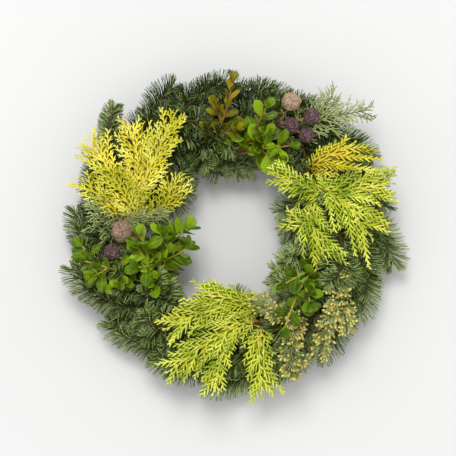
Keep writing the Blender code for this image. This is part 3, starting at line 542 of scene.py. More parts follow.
def make_gold_fan(name, path, half_width, spread, finishes, picks):
    """A flat fan: a spine, branches to the left and right by turns, and branchlets along both their sides."""
    path = path.smoothed()
    growth = Growth()
    fine, full = "left" in name, "right" in name
    start = path.length * (0.12 if full else 0.2) + 0.002
    ripple = picks.uniform(0, 6.28, 2)

    def place_of(spots):
        x, y, lift = spots.T[..., None]
        place, ahead, up, aside = path.at(np.minimum(x[:, 0], path.length))
        wave = 0.0016 * np.sin(x * 130 + ripple[0]) * np.sin(np.abs(y) * 170 + ripple[1])
        place = place + np.maximum(0, x - path.length) * ahead
        return place + aside * y + up * (lift + wave - 7 * y * y), up

    def grow_lobes(spots, turns, every, longest, shares, rise):
        count = max(2, int(np.linalg.norm(spots[-1] - spots[0]) / every))
        for step in range(1, count + 1):
            flank = 1 if step % 2 else -1
            at = (step - 0.35) / count
            spot = min(int(at * (len(spots) - 1)), len(spots) - 2)
            size = (longest * (1 - at) ** 0.7 + 0.003) * min(1, 0.55 + at * 2.4) * picks.uniform(0.7, 1.2)
            lean = turns[spot] + flank * math.radians(picks.uniform(29, 41))
            tones = (shares[0] + (shares[1] - shares[0]) * at, picks.uniform(0.62, 1) if rise else 0.6)
            small, small_turns = branchlet(
                growth, place_of, spots[spot], lean, size, -0.16 * flank, 0.00098 if fine else 0.0012, tones,
                picks.uniform() if rise else 0.2, picks.normal(rise, 0.18), SCALE_LEAF * (1 if rise else 2))
            for third, turned in ((0.3, flank), (0.5, -flank)):
                if rise and size * (1 - third) > (0.0036 if fine else 0.0068):
                    spot = int(third * (len(small) - 1))
                    reach = size * (1 - third) * picks.uniform(0.5, 0.75)
                    branchlet(growth, place_of, small[spot], small_turns[spot] + turned * math.radians(34),
                              reach, 0, 0.00085, (0.6, 1), picks.uniform())

    grow_stem(growth, path, start + 0.012, STEM_RADIUS, 0.0009)
    spine = branchlet(growth, place_of, (start, 0, 0), 0, path.length + 0.003 - start, 0, BRANCH_WIDTH,
                      (0.05, 0.95), picks.uniform())
    grow_lobes(*spine, 0.0052, 0.0045, (0.2, 0.8), 0.2)
    for number in range(int((path.length - start - 0.004) / FAN_BRANCH_EVERY)):
        side = -1 if number % 2 else 1
        x = start + FAN_BRANCH_EVERY * (number + picks.uniform(-0.2, 0.2) * (number > 0))
        share = max(0, x - start - 0.016) / (path.length - start - 0.016)
        low = min(1, (0.95 if full else 0.65) + number * FAN_BRANCH_EVERY / 0.03)
        width = half_width * low * (0.66 + 0.9 * share - 1.25 * share ** 2.2) * spread[side > 0]
        reach = width * picks.uniform(0.68, 1.22) / math.sin(FAN_BRANCH_ANGLE)
        if reach < 0.005:
            continue
        heading = side * FAN_BRANCH_ANGLE * picks.uniform(0.75, 1.1)
        ribbed = picks.uniform() < 0.55
        along, drawn = ((0, 0.7), 0.2) if ribbed else ((0.05 + 0.4 * share, 0.95), picks.uniform())
        branch = branchlet(growth, place_of, (x, 0, 0), heading, reach, -0.2 * side, BRANCH_WIDTH, along,
                           drawn, picks.normal(0.05, 0.15))
        grow_lobes(*branch, 0.0034 if fine else 0.003, 0.0078, (0.25 + 0.3 * share, 0.75), 0.08)
        # A lower layer of branchlets under each branch, coloured mostly in the deep tone as painted shade
        # under the branches.
        if share < 0.75:
            under = branchlet(growth, place_of, (x + 0.002, 0, -0.003), heading * 0.72, reach * 0.85,
                              -0.1 * side, BRANCH_WIDTH, (0.1, 0.5), picks.uniform(0, 0.4), -0.08)
            grow_lobes(*under, 0.0046, 0.008, (0.2, 0.4), 0)
    growth.to_piece(name, "_fan", finishes)


def make_gold_bunches():
    tilts = random.Random(5)
    fans = []
    for kind, (focus, rows) in GOLD_BUNCHES.items():
        for number, (*tip, half_width, left, right) in enumerate([(*row, 1, 1)[:6] for row in rows], 1):
            name = f"gold_{kind}_{number}"
            tilt = (tilts.uniform(-0.2, 0.2), tilts.uniform(-0.2, 0.2), 1)
            path = risen_stem(name, focus, 2.2 * (number - (len(rows) + 1) / 2), tip, 0.046, facing=tilt)
            fans.append((name, path, half_width / 1000, (left, right)))
    bark = bark_finish("cypress_twig", (0.3, 0.14, 0.05), (0.62, 0.42, 0.1))
    yellow = cypress_finish("golden_cypress", (0.5, 0.43, 0.005), (0.92, 0.84, 0.02), (1, 0.94, 0.27),
                            (0.8, 0.48, 0.06), (0.42, 0.49, 0.018))
    lime = cypress_finish("lime_cypress", (0.15, 0.26, 0.004), (0.48, 0.61, 0.012), (0.93, 0.93, 0.21),
                          (0.84, 0.54, 0.09), (0.66, 0.65, 0.05))
    amber = cypress_finish("amber_cypress", (0.42, 0.33, 0.006), (0.66, 0.6, 0.016), (0.9, 0.85, 0.15),
                           (0.86, 0.38, 0.05), (0.34, 0.48, 0.012))
    for number, fan in enumerate(fans):
        leaves = yellow if "left" in fan[0] else amber if fan[0] == "gold_right_1" else lime
        make_gold_fan(*fan, [leaves, bark], np.random.default_rng(100 + number))


make_gold_bunches()


# Round cones of Arizona cypress on their own twigs, two at the left and four at the top right. Each has a
# dozen woody shields closed up against each other, rough and weathered, with a small point in the middle.
CONE_RADIUS = 0.0098
TAN, PURPLE, BROWN = 1, 2, 3
# By twig: where it is bound, and each cone's place, size and colour.
CONE_TWIGS = {
    "cone_twig_left": ((258, 104), [(271, 106, 78, 1.12, BROWN), (261, 118, 68, 0.85, PURPLE)]),
    "cone_twig_top": ((18, 108), [(30, 123, 64, 0.85, PURPLE), (25, 143, 78, 0.95, TAN),
                                  (35, 141, 70, 0.85, PURPLE), (38, 123, 66, 0.8, PURPLE)]),
}
CONE_PLACES = np.array([tip_at(*cone[:3]) for _, cones in CONE_TWIGS.values() for cone in cones])
UP = np.array((0.0, 0.0, 1.0))
KNOTTED = (0.12, (0.4, 400))


def shoots(name, stem, fork, tips, radius=STEM_RADIUS):
    """The stem, and the side shoots that fork from it to the other tips."""
    place, forward, _, _ = stem.at(stem.length * fork)
    found = [stem]
    for bearing, *rest in tips:
        tip = tip_at(bearing, *rest)
        distance = np.linalg.norm(tip - place)
        for rise, aside in ((0.1, 0), (0.25, 0), (0.4, 0), (0.2, 0.15), (0.2, -0.15), (0.5, 0.1), (0, 0)):
            handle = place + distance * (0.4 * forward + rise * UP + aside * clockwise(bearing))
            points = curve_points(place, handle, tip, 9)
            if clearance.free_line(name, points[1:], radius):
                break
        clearance.add_line(name, points[1:], radius)
        found.append(Path(points))
    return found


def cone_finish(name, dark, light, bloom):
    finish = Finish(name, 0.75, 0.2)
    flakes = finish.noise(520, 8)
    tone = finish.ramp(flakes, (0.32, dark), (0.5, light), (0.66, bloom))
    cloudy = finish.blotches(110, 3, 0.35, 0.7, 0.6, tone, light)
    seams = finish.ramp(finish.across, (0, 0.3), (0.25, 0.8), (0.6, 1))
    finish.set("Base Color", finish.mix(0.85, cloudy, seams, "MULTIPLY"))
    finish.bump(flakes, 1, 0.0008)
    return finish.material


def grow_cone(growth, centre, axis, radius, finish, picks):
    golden = (1 + math.sqrt(5)) / 2
    middles = unit(np.array([middle for first in (-1, 1) for second in (-golden, golden)
                             for middle in ((0, first, second), (first, second, 0), (second, 0, first))]))
    up = unit(axis)
    across = unit(np.cross(up, (0.31, 0.52, 0.79)))
    middles = unit(middles @ np.array((across, np.cross(up, across), up)) + picks.normal(0, 0.06, (12, 3)))
    rows, columns = 30, 48
    around = np.arange(columns) * 2 * math.pi / columns
    down, turn = np.meshgrid(np.linspace(0.02, math.pi - 0.02, rows), around, indexing="ij")
    spokes = joined(np.sin(down) * np.cos(turn), np.sin(down) * np.sin(turn), np.cos(down))
    nearest = np.sort(spokes @ middles.T, axis=-1)[..., -2:]
    second, angle = np.arccos(np.clip(nearest, -1, 1)).transpose(2, 0, 1)
    edge = np.clip((second - angle) / 0.32, 0, 1)
    rough = sum(np.sin(spokes @ picks.normal(0, k, 3) + k) for k in (9, 14, 21, 30)) * 0.008
    swell = 0.9 + 0.1 * edge ** 0.5 + 0.07 * np.exp(-(angle / 0.15) ** 2)
    corners = centre + spokes * ((swell + rough) * radius)[..., None]
    growth.sheet(corners, (edge, picks.uniform(), edge), finish, (0, 1))


def make_cones():
    bark = bark_finish("cone_twig_bark", (0.1, 0.06, 0.03), (0.26, 0.17, 0.09))
    tan = cone_finish("cone_tan", (0.15, 0.088, 0.05), (0.36, 0.24, 0.155), (0.52, 0.39, 0.28))
    purple = cone_finish("cone_purple", (0.028, 0.015, 0.017), (0.095, 0.052, 0.052), (0.25, 0.17, 0.165))
    brown = cone_finish("cone_brown", (0.09, 0.055, 0.032), (0.23, 0.155, 0.098), (0.42, 0.31, 0.21))
    picks = np.random.default_rng(21)
    for name, (focus, cones) in CONE_TWIGS.items():
        tips = [cone[:3] for cone in cones]
        stem = risen_stem(name, focus, 0, tips[0], 0.03)
        growth = Growth()
        for path, (*tip, size, colour) in zip(shoots(name, stem, 0.66, tips[1:]), cones):
            radius = CONE_RADIUS * size
            bare = path.length - 0.6 * radius
            grow_stem(growth, path.smoothed(), bare, STEM_RADIUS, 0.0011, 0, 24, 7, *KNOTTED)
            grow_cone(growth, tip_at(*tip), path.tangents[-1], radius, colour, picks)
        growth.to_piece(name, "_cones", [bark, tan, purple, brown])


make_cones()


# Sprigs of glossy broad leaves, in pairs that each stand a quarter turn from the last: bronze-tinged and
# green ones at the top, green ones at the left and the lower right. They are bound by their thin stems.
LEAF_LENGTH = 0.02
LEAF_THICKNESS = 0.0006
LEAF_EVERY = 0.0086
SIDE_SHOOT = 0.021
# The angles at which leaves leave their stem, and their breadths as shares of their lengths.
NARROW, MIDDLING, BROAD = ((30, 50), (0.36, 0.44)), ((44, 68), (0.46, 0.6)), ((48, 70), (0.56, 0.68))
# By sprig: where it is bound, its tips, factors for its leaves' length and spacing, its bare
# share, its side shoots and its leaves' shape.
LEAFY_SPRIGS = {
    "leafy_top_1": ((346, 100), [(1, 148, 78)], 1, 1, 0.3, 3, NARROW),
    "leafy_top_2": ((358, 92), [(16, 128, 84), (34, 104, 74)], 1.22, 1.3, 0.5, 2, BROAD),
    "leafy_left_1": ((243, 108), [(259, 146, 72)], 1.14, 1, 0.08, 4, MIDDLING),
    "leafy_left_2": ((238, 96), [(258, 92, 84), (270, 56, 66)], 1.14, 1, 0.08, 4, MIDDLING),
    "leafy_right": ((116, 100), [(132, 74, 78), (149, 106, 84)], 1.14, 1.45, 0.42, 1, BROAD),
}


def leaf_finish(name, dark, fresh, edge, rib):
    finish = Finish(name, 0.36, 0.14)
    tone = finish.ramp(finish.drawn, (0, tuple(0.6 * part for part in dark)), (0.5, dark), (1, fresh))
    mottled = finish.blotches(130, 4, 0.4, 0.75, 0.5, tone, fresh)
    tinged = finish.blotches(75, 2, 0.56, 0.76, 0.6, mottled, edge)
    rimmed = finish.mix(finish.ramp(finish.across, (0.7, 0), (1, 0.35)), tinged, edge)
    finish.set("Base Color", finish.mix(finish.ramp(finish.across, (0, 0.6), (0.12, 0)), rimmed, rib))
    finish.set("Roughness", finish.ramp(finish.noise(260), (0.3, 0.3), (0.75, 0.5)))
    veins = finish.math("MULTIPLY_ADD", finish.across, -7, finish.math("MULTIPLY", finish.along, 34))
    finish.bump(finish.math("SINE", veins), 0.3, 0.0002)
    return finish.material


def grow_leaf(growth, base, direction, facing, length, width, picks):
    """A leaf, broadest past its middle, folded a little along its rib and curving down to its tip. It is left
    out where it would stand in a cone."""
    direction = unit(direction)
    normal = unit(facing - direction * facing.dot(direction))
    aside = np.cross(normal, direction)
    along, over = np.linspace(0, 1, 11)[:, None], np.linspace(-1, 1, 7)
    half = 0.5 * width * np.sin(math.pi * along ** 1.45) ** 0.72 + 0.0006 * (1 - along)
    cup, twist = picks.uniform(0.1, 0.2), picks.uniform(-0.12, 0.12)
    rise = 0.02 + 0.16 / 0.15 * cup * np.abs(over) * half / length
    droop = -0.13 * along ** 2.2 + twist * over * half / length
    shape = joined(along * length, over * half, length * (droop + 2 * rise * along * (1 - along)))
    middle = base + shape @ np.array((direction, aside, normal))
    thick = LEAF_THICKNESS / 2 * (1 - 0.75 * np.abs(over) ** 3) * (1 - 0.6 * along ** 6)
    drawn = picks.uniform()
    if np.linalg.norm(middle.reshape(-1, 1, 3) - CONE_PLACES, axis=2).min() < CONE_RADIUS:
        return
    growth.sheet(middle + normal * thick[..., None], (along, drawn, np.abs(over)))
    growth.sheet((middle - normal * thick[..., None])[:, ::-1], (along, drawn, np.abs(over)))


def grow_leaves(growth, path, bare, every, longest, shape, picks):
    """Pairs of leaves along a shoot, each a quarter turn on from the last, and a small one at its tip."""
    angles, breadths = shape
    count = max(2, int(path.length * (1 - bare) / every))
    for number in range(count + 1):
        share = number / count
        place, forward, up, aside = path.at(path.length * (bare + (1 - bare) * share))
        twist = picks.normal(0, 0.35) + (math.pi / 2 if number % 2 else 0)
        turned = aside * math.cos(twist) + up * math.sin(twist)
        for side in (1, -1):
            angle = math.radians(picks.uniform(*angles) * (1 - 0.4 * share ** 4))
            spoke = unit(side * turned + 0.15 * UP)
            direction = unit(spoke * math.sin(angle) + forward * math.cos(angle) + 0.12 * UP)
            upper = unit(forward * math.sin(angle) - spoke * math.cos(angle))
            facing = unit(UP * picks.uniform(0.6, 1.2) + upper)
            size = longest * picks.uniform(0.74, 1) * (1 - 0.3 * share ** 3)
            grow_leaf(growth, place, direction, facing, size, size * picks.uniform(*breadths), picks)
    grow_leaf(growth, place, forward, up, LEAF_LENGTH * 0.62, LEAF_LENGTH * 0.3, picks)


def make_leafy_sprigs():
    stem_red = bark_finish("leaf_stem_red", (0.3, 0.12, 0.04), (0.48, 0.24, 0.06))
    stem_gold = bark_finish("leaf_stem_gold", (0.42, 0.3, 0.05), (0.62, 0.48, 0.1))
    green = leaf_finish("green_leaf", (0.05, 0.115, 0.001), (0.28, 0.44, 0.012), (0.26, 0.28, 0.008),
                        (0.26, 0.38, 0.03))
    deep_green = leaf_finish("deep_green_leaf", (0.034, 0.085, 0.001), (0.19, 0.34, 0.01), (0.2, 0.25, 0.008),
                             (0.2, 0.3, 0.02))
    bronze = leaf_finish("bronze_leaf", (0.085, 0.095, 0.002), (0.28, 0.25, 0.008), (0.3, 0.15, 0.01),
                         (0.34, 0.3, 0.03))
    picks = np.random.default_rng(31)
    for name, (focus, tips, longer, wider, bare, side_shoots, shape) in LEAFY_SPRIGS.items():
        stem = risen_stem(name, focus, 0, tips[0], 0.04)
        growth = Growth()
        leaves = (LEAF_EVERY * wider, LEAF_LENGTH * longer, shape, picks)
        for path in shoots(name, stem, 0.35, tips[1:]):
            path = path.smoothed()
            grow_stem(growth, path, path.length, STEM_RADIUS * 0.85, 0.0007, 1, 30, 7, *KNOTTED)
            grow_leaves(growth, path, bare, *leaves)
            for number in range(side_shoots):
                share = max(0.34, bare) + (0.84 - bare) / 4 * number
                place, forward, up, aside = path.at(path.length * share)
                side = aside if number % 2 else -aside
                reach = SIDE_SHOOT * picks.uniform(0.8, 1.15)
                end = place + reach * unit(forward * 0.8 + side * 0.75 + UP * picks.uniform(0, 0.5))
                shoot = Path(curve_points(place, (place + end) / 2 + side * 0.003, end, 9))
                grow_stem(growth, shoot, shoot.length, 0.0008, 0.0006, 1, 12, 7, *KNOTTED)
                grow_leaves(growth, shoot, 0.35, *leaves)
        colour = {"leafy_top_1": bronze, "leafy_right": deep_green}.get(name, green)
        stems = stem_red if "top" in name else stem_gold
        growth.to_piece(name, "_leaves", [colour, stems])


make_leafy_sprigs()


# Thin sprays of blue-green cypress, one fanning out at the top right and one round the cones at the left,
# and two at the lower right whose threads end in small yellow buds. All are forked twigs bound by the stem.
THREAD_CORE = 0.001
THREAD_WIDTH = 0.00068
SIDE_THREAD_WIDTH = 0.00058
# By spray: where it is bound, the spacing of its threads and its tips.
THREAD_SPRAYS = {
    "cypress_top": ((28, 110), 0.0029, [(37, 170, 58), (48, 182, 54)]),
    "cypress_left": ((262, 108), 0.0021, [(281, 138, 60), (286, 72, 62)]),
    "bud_spray_1": ((118, 108), 0.0027, [(129, 148, 72), (143, 148, 66)]),
    "bud_spray_2": ((138, 104), 0.0027, [(157, 150, 74), (157, 74, 68)]),
}


def grow_thread(growth, start, direction, sag, length, width, along, stations, picks):
    """One thread of scale leaves that curves as it goes. Gives back its places and directions."""
    shares = np.linspace(0, 1, stations)
    headings = unit(direction + np.outer(shares, sag))
    places = walk(start, headings[:-1] * length / (stations - 1))
    aside = unit(np.cross(headings, (0.02, 0.03, 1)))
    odd = np.arange(stations) % 2
    wide = np.linspace(1, 0.7, stations) * width * np.where(odd, 1.15, 0.8)
    tints = (along + (1 - along) * shares, picks.uniform(), np.where(odd, 1, 0.3))
    growth.rods(places, wide, aside, np.cross(aside, headings), tints, rooted=True)
    return places, headings


def grow_bud(growth, tip, direction, size, picks):
    """A plump bud of overlapping scales at the end of a thread."""
    shares = np.array((-0.15, 0.1, 0.35, 0.6, 0.82, 1))
    radii = np.array((0.3, 0.78, 1, 0.92, 0.62, 0.15)) * size * 0.5
    aside = unit(np.cross(direction, (0.3, 0.2, 1)))
    growth.rods(tip + np.outer(shares * size * 1.35, direction), radii, aside, np.cross(aside, direction),
                (shares, picks.uniform(), shares), 5, 1, rooted=True)


def bud_finish():
    finish = Finish("yellow_bud", 0.5, 0.4)
    tone = finish.ramp(finish.drawn, (0, (0.34, 0.28, 0.035)), (1, (0.7, 0.63, 0.17)))
    green_base = finish.ramp(finish.along, (0, 0.7), (0.45, 0))
    finish.set("Base Color", finish.mix(green_base, tone, (0.24, 0.25, 0.06)))
    finish.bump(finish.noise(1500), 0.4, 0.0003)
    return finish.material


def make_thread_sprays():
    blue = cypress_finish("blue_cypress", (0.12, 0.16, 0.045), (0.29, 0.36, 0.12), (0.5, 0.57, 0.24),
                          (0.22, 0.16, 0.05))
    pale = cypress_finish("pale_cypress", (0.07, 0.1, 0.025), (0.2, 0.26, 0.085), (0.4, 0.46, 0.19),
                          (0.26, 0.2, 0.06))
    bud = bud_finish()
    bark = bark_finish("cypress_spray_twig", (0.14, 0.09, 0.04), (0.32, 0.22, 0.1))
    picks = np.random.default_rng(41)
    for name, (focus, every, tips) in THREAD_SPRAYS.items():
        buds = "bud" in name
        stem = risen_stem(name, focus, 0, tips[0], 0.034, THREAD_CORE)
        growth = Growth()
        for number, path in enumerate(shoots(name, stem, 0.4, tips[1:], THREAD_CORE)):
            fine = path.smoothed()
            grow_stem(growth, fine, fine.length, THREAD_CORE, 0.0005, 2, 30, 5, *KNOTTED)
            bare = path.length * (0.25 if buds and not number else 0.03)
            for count, length in enumerate(np.arange(bare, path.length, every)):
                share = (length - bare) / (path.length - bare)
                place, forward, up, aside = fine.at(length)
                turn = (1 if count % 2 else -1) * picks.uniform(0.15, 1)
                lean = math.radians(picks.uniform(26, 52))
                spoke = unit(aside * turn + up * picks.uniform(-0.2, 0.7))
                direction = unit(forward * math.cos(lean) + spoke * math.sin(lean))
                size = 0.011 + (0.013 if buds else 0.022) * abs(turn)
                size *= (1 - 0.45 * share) * picks.uniform(0.7, 1.2)
                sag = picks.normal(0, 0.16, 3) + 0.2 * forward
                if name == "cypress_left":
                    size, sag = size * (0.7 if number else 1.45), sag - (0, 0.5, 0)
                if name == "cypress_top" and share < 0.6:
                    size, sag = size * 1.25, sag - (0, 0.3, 0)
                places, headings = grow_thread(growth, place, direction, sag, size, THREAD_WIDTH, 0.35, 11,
                                               picks)
                for spot in range(2, 10, 1 if buds else 2):
                    flank = 1 if (spot if buds else spot // 2) % 2 else -1
                    side = unit(np.cross(headings[spot], up) * flank + picks.normal(0, 0.3, 3))
                    ahead = unit(headings[spot] + side * math.tan(math.radians(picks.uniform(26, 44))))
                    small = picks.uniform(0.003, 0.0085) * (1 if buds else 1.6) * (1.1 - spot / 16)
                    ends, turned = grow_thread(growth, places[spot], ahead, picks.normal(0, 0.15, 3), small,
                                               SIDE_THREAD_WIDTH, 0.55, 4, picks)
                    if buds and picks.uniform() < 0.55:
                        grow_bud(growth, ends[-1], turned[-1], picks.uniform(0.0021, 0.003), picks)
                if buds:
                    grow_bud(growth, places[-1], headings[-1], picks.uniform(0.0023, 0.0031), picks)
        scales, slot = (pale, "bud_green") if buds else (blue, "blue_green")
        growth.to_piece(name, "_threads", [scales, bud, bark])


make_thread_sprays()


# Sprigs of noble fir make up the body of the wreath. They overlap round the outside, round the hole and
# along the top, tips clockwise. The needles are stiff, blunt and waxy, and sweep up off a rust-brown twig.
# Their pale waxy streaks are partly painted highlight, and each needle carries painted shade towards the
# twig.
FIR_ARC = 14
FIR_CURL = 0.7
FIR_CORE = 0.0015
FIR_NEEDLE = 0.0185
NEEDLE_WIDTHS = 0.00076 * np.array((0.85, 1, 0.62))
NEEDLE_EVERY = 0.00028
SIDE_TWIGS = 6
OUTER_REACH = 0.149
RIPPLED = (0.5, 900)
# Each sprig's tip, how far back its root is, where round the straw it is bound and, if not 1, a factor for
# its needles' length.
FIR_SPRIGS = {
    "outer": [
        (317, 170, 46, 34, 50, 0.78), (338, 157, 30, 42, 14, 1.15), (0, 150, 44, 44, 50, 1.08),
        (21, 147, 28, 40, 14), (41, 155, 40, 42, 50), (61, 160, 28, 42, 14), (80, 157, 42, 42, 50),
        (100, 166, 26, 42, 14, 1.2), (121, 151, 42, 42, 50, 1.2), (143, 151, 26, 42, 14, 1.2),
        (165, 147, 42, 44, 50), (187, 154, 28, 44, 14, 1.2), (210, 148, 42, 44, 50), (233, 152, 26, 44, 14),
        (257, 162, 44, 40, 50), (277, 156, 26, 40, 14), (297, 150, 40, 42, 50),
    ],
    "inner": [
        (322, 69, 30, 50, 162), (18, 67, 32, 50, 162), (95, 61, 30, 50, 162), (138, 69, 32, 50, 162),
        (200, 66, 30, 50, 162), (275, 61, 34, 54, 162),
    ],
    "top": [
        (346, 118, 66, 42, 78), (2, 92, 60, 42, 112), (36, 99, 50, 42, 100), (116, 118, 64, 42, 78, 1.2),
        (140, 92, 58, 42, 112), (226, 124, 64, 42, 78), (240, 94, 60, 42, 112), (258, 112, 62, 40, 95),
    ],
}
FIR_FORKS = {
    "fir_outer_5": (46, 106, 46), "fir_outer_7": (74, 113, 46), "fir_outer_9": (110, 103, 43),
    "fir_outer_11": (156, 102, 46), "fir_outer_12": (180, 102, 46), "fir_outer_13": (198, 106, 46),
    "fir_outer_1": (306, 112, 44), "fir_top_2": (344, 84, 42), "fir_inner_4": (113, 68, 38),
}


def needle_finish():
    finish = Finish("fir_needle", 0.45, 0.08)
    tone = finish.ramp(finish.drawn, (0, (0.005, 0.01, 0.001)), (0.35, (0.032, 0.062, 0.004)),
                       (0.65, (0.126, 0.188, 0.028)), (1, (0.42, 0.52, 0.18)))
    patchy = finish.blotches(28, 2, 0.4, 0.7, 0.35, tone, (0.12, 0.17, 0.024))
    # Pale waxy streaks on some needles: partly the needles' waxy bloom, partly painted highlight.
    waxy_bloom_and_highlight = finish.mix(finish.ramp(finish.across, (0.5, 0), (1, 0.65)), patchy, (0.42, 0.54, 0.27))
    shaded = finish.ramp(finish.along, (0, 0.06), (0.6, 1))
    finish.set("Base Color", finish.mix(0.85, waxy_bloom_and_highlight, shaded, "MULTIPLY"))
    finish.set("Roughness", finish.ramp(finish.drawn, (0, 0.6), (1, 0.42)))
    return finish.material


def grow_needles(growth, path, every, size, tone, picks):
    """Needles to both sides and over a twig, up to its blunt tip. Each leaves it at a slant, then bends
    outwards. Painted light: needles that point upwards get lighter tones, and those at the rim and round the
    hole lighter still."""
    bare, end = 0.003, path.length
    count = max(8, int((end - bare) / every))
    extra = int(0.011 / every)
    lengths = np.linspace(bare, end - 0.0006, count) + picks.normal(0, 0.0006, count)
    lengths = np.clip(np.append(lengths, picks.uniform(end - 0.003, end, extra)), bare, end)
    place, ahead, up, aside = path.at(lengths)
    blunt = np.exp((lengths - end) / 0.005)[:, None]
    count += extra
    flank = np.where(np.arange(count) % 2, 1, -1)
    over = np.radians(np.where(picks.uniform(size=count) < 0.6, picks.uniform(-12, 30, count),
                               picks.uniform(-30, 74, count)))
    spoke = unit((flank * np.cos(over))[:, None] * aside + np.sin(over)[:, None] * up)
    each = (count, 1)
    blunt[-extra:] = picks.uniform(0.45, 1.5, (extra, 1))
    lean_in = np.radians(52 - 20 * blunt + picks.normal(0, 2.5, each))
    lean_out = np.radians(76 - 42 * blunt + picks.normal(0, 4, each))
    reach = size * (1 - 0.3 * blunt) * picks.uniform(0.82, 1.03, each)
    lean = (lean_in + (lean_out - lean_in) * (0, 0.65, 1))[..., None]
    rise = np.outer((0, 0.05, 0.1), UP)
    headings = unit(spoke[:, None] * np.sin(lean) + ahead[:, None] * np.cos(lean) + rise)
    places = over_floor(walk(place[:, None], headings[:, :2] * reach[..., None] / 2), 0.001)
    sideways = unit(np.cross(headings, spoke[:, None] + 0.01))
    above = np.cross(sideways, headings) * 0.5
    tips = places[:, -1, :2]
    out = np.linalg.norm(tips, axis=1)[:, None]
    # Painted light: upward needles, and those at the outer rim and round the hole, get lighter tones.
    rim_painted_light = 0.34 * np.clip((out - 0.146) / 0.022, 0, 1) + 0.42 * np.clip((0.1 - out) / 0.028, 0, 1)
    painted_light = 0.1 + 0.45 * (np.sin(over)[:, None] + 0.5) / 1.4 + rim_painted_light
    drawn = np.clip(painted_light + picks.normal(0, 0.34, each) + tone, 0, 1)
    # How much pale waxy colour each needle gets: partly waxy bloom, partly painted highlight.
    bloom_and_highlight_share = np.clip(picks.uniform(-0.6, 1, each), 0, 1)
    kept = ((tips / (HOLE[0] + 0.003, HOLE[1] + 0.003)) ** 2).sum(1) > 1
    steep = (over > 0.75) | (over < -0.1)
    for chosen, stations in ((kept & ~steep, [0, 1, 2]), (kept & steep, [0, 2])):
        line, across, up = (values[chosen][:, stations] for values in (places, sideways, above))
        tints = (np.array((0, 0.5, 1))[stations], drawn[chosen], bloom_and_highlight_share[chosen])
        growth.rods(line, NEEDLE_WIDTHS[stations], across, up, tints, 3, 0, 0.25, rooted=True)


def grow_side_twigs(growth, name, path, first, count, tone, picks):
    """Short twigs to the left and right by turns, rising a little, where there is room past the stems. Those
    on the outside of the wreath bend round with it."""
    for step in range(count):
        at = first + (0.84 - first) * step / max(1, count - 1)
        place, ahead, up, aside = path.at(path.length * at)
        side = aside if (step % 2) != ("inner" in name) else -aside
        size = (0.04 - 0.026 * at) * picks.uniform(0.85, 1.1)
        outwards = unit(place * (1, 1, 0))
        out = place @ outwards
        for lift, share in ((0.12, 1), (0.4, 1), (0.8, 0.9), (0.12, 0.65), (0.5, 0.5)):
            reach = size * share
            end = place + reach * unit(ahead * 0.8 + side * 0.62 + lift * UP)
            handle = (place + end) / 2 + side * reach * 0.1
            if "outer" in name and side @ outwards > 0.5:
                bearing = math.degrees(math.atan2(place[0], place[1]) + 0.8 * reach / out)
                far = max(out + 0.006, min(out + 0.6 * reach, OUTER_REACH))
                end = polar(bearing, far, place[2] + lift * reach * 0.6)
                handle = end - clockwise(bearing) * reach * 0.55
            if clearance.free_line(name, curve_points(place, handle, end, 5)[1:], 0.0004):
                shoot = Path(curve_points(place, handle, end, 8))
                grow_stem(growth, shoot, shoot.length, 0.0009, 0.0006, ripple=RIPPLED)
                grow_needles(growth, shoot, NEEDLE_EVERY * 1.1, FIR_NEEDLE * 0.92, tone, picks)
                break


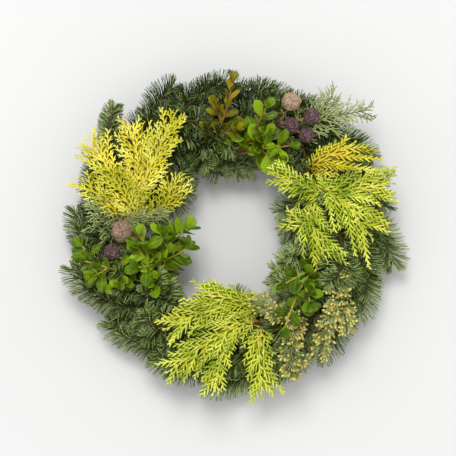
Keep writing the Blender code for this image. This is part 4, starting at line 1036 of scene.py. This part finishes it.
def make_fir_sprigs():
    needles = needle_finish()
    bark = bark_finish("fir_twig", (0.11, 0.05, 0.018), (0.27, 0.13, 0.045))
    picks = np.random.default_rng(51)
    stems, sizes = {}, {}
    for where, sprigs in FIR_SPRIGS.items():
        lift, curl = (0.02, 0) if where == "top" else (0.006, FIR_CURL)
        for number, (bearing, reach, height, back, round_straw, *longer) in enumerate(sprigs, 1):
            name = f"fir_{where}_{number}"
            stems[name] = [settled(name, FIR_CORE, bearing - back, round_straw, FIR_ARC,
                                   tip_at(bearing, reach, height), 0.42, lift, (0, 0, 1), curl)]
            sizes[name] = FIR_NEEDLE * (longer or [1])[0]
    for name, tip in FIR_FORKS.items():
        stems[name] = shoots(name, stems[name][0], 0.4, [tip], FIR_CORE)
    for name, forks in stems.items():
        growth = Growth()
        from_top = math.atan2(*forks[0].points[-1][:2]) - math.radians(345)
        tone = picks.uniform(-0.42, -0.24) + 0.56 * (0.5 - 0.5 * math.cos(from_top)) ** 0.6
        for number, path in enumerate(forks):
            path = path.smoothed()
            grow_stem(growth, path, path.length, FIR_CORE, 0.0008, ripple=RIPPLED)
            brush = name == "fir_outer_1" and number == 0
            every = NEEDLE_EVERY * (0.4 if brush else 1)
            grow_needles(growth, path, every, sizes[name], tone + 0.15 * brush, picks)
            twigs = 0 if brush else 4 if number else SIDE_TWIGS
            grow_side_twigs(growth, name, path, 0.08 if number else 0.12, twigs, tone, picks)
        growth.to_piece(name, "_sprig", [needles, bark])


make_fir_sprigs()


# The floor is a plain pale sheet, and the light is a studio's: an even glow all round and one wide soft lamp
# above the top of the wreath. The camera looks straight down at it.
def make_floor():
    half, low = 3, -0.0004
    mesh = bpy.data.meshes.new("floor")
    mesh.from_pydata([(-half, -half, low), (half, -half, low), (half, half, low), (-half, half, low)], [],
                     [(0, 1, 2, 3)])
    finish = Finish("floor_paper", 0.9, 0.1)
    pale = finish.ramp(finish.noise(3, 2), (0.3, (0.67, 0.67, 0.665)), (0.7, (0.69, 0.69, 0.685)))
    finish.set("Base Color", pale)
    finish.bump(finish.noise(400, 2), 0.05, 0.0002)
    mesh.materials.append(finish.material)
    floor = put_in_scene("floor", mesh)


def light_and_camera():
    scene = bpy.context.scene
    scene.world = bpy.data.worlds.new("studio")
    scene.world.use_nodes = True
    glow = scene.world.node_tree.nodes["Background"].inputs
    glow["Color"].default_value, glow["Strength"].default_value = (1, 1, 1, 1), 0.84
    scene.view_settings.view_transform = "Standard"
    lamp = bpy.data.lights.new("wide_lamp", "AREA")
    lamp.energy, lamp.size = 138, 1.6
    x, y, z = place = (-0.3, 1.9, 4.3)
    towards_wreath = (math.atan2(math.hypot(x, y), z), 0, math.atan2(x, -y))
    put_in_scene("wide_lamp", lamp, place).rotation_euler = towards_wreath
    camera = bpy.data.cameras.new("camera")
    camera.lens, camera.sensor_width = 194, 36
    camera.clip_start, camera.clip_end = 0.1, 20
    scene.camera = put_in_scene("camera", camera, (-0.002, 0.005, 2.5))


make_floor()
light_and_camera()
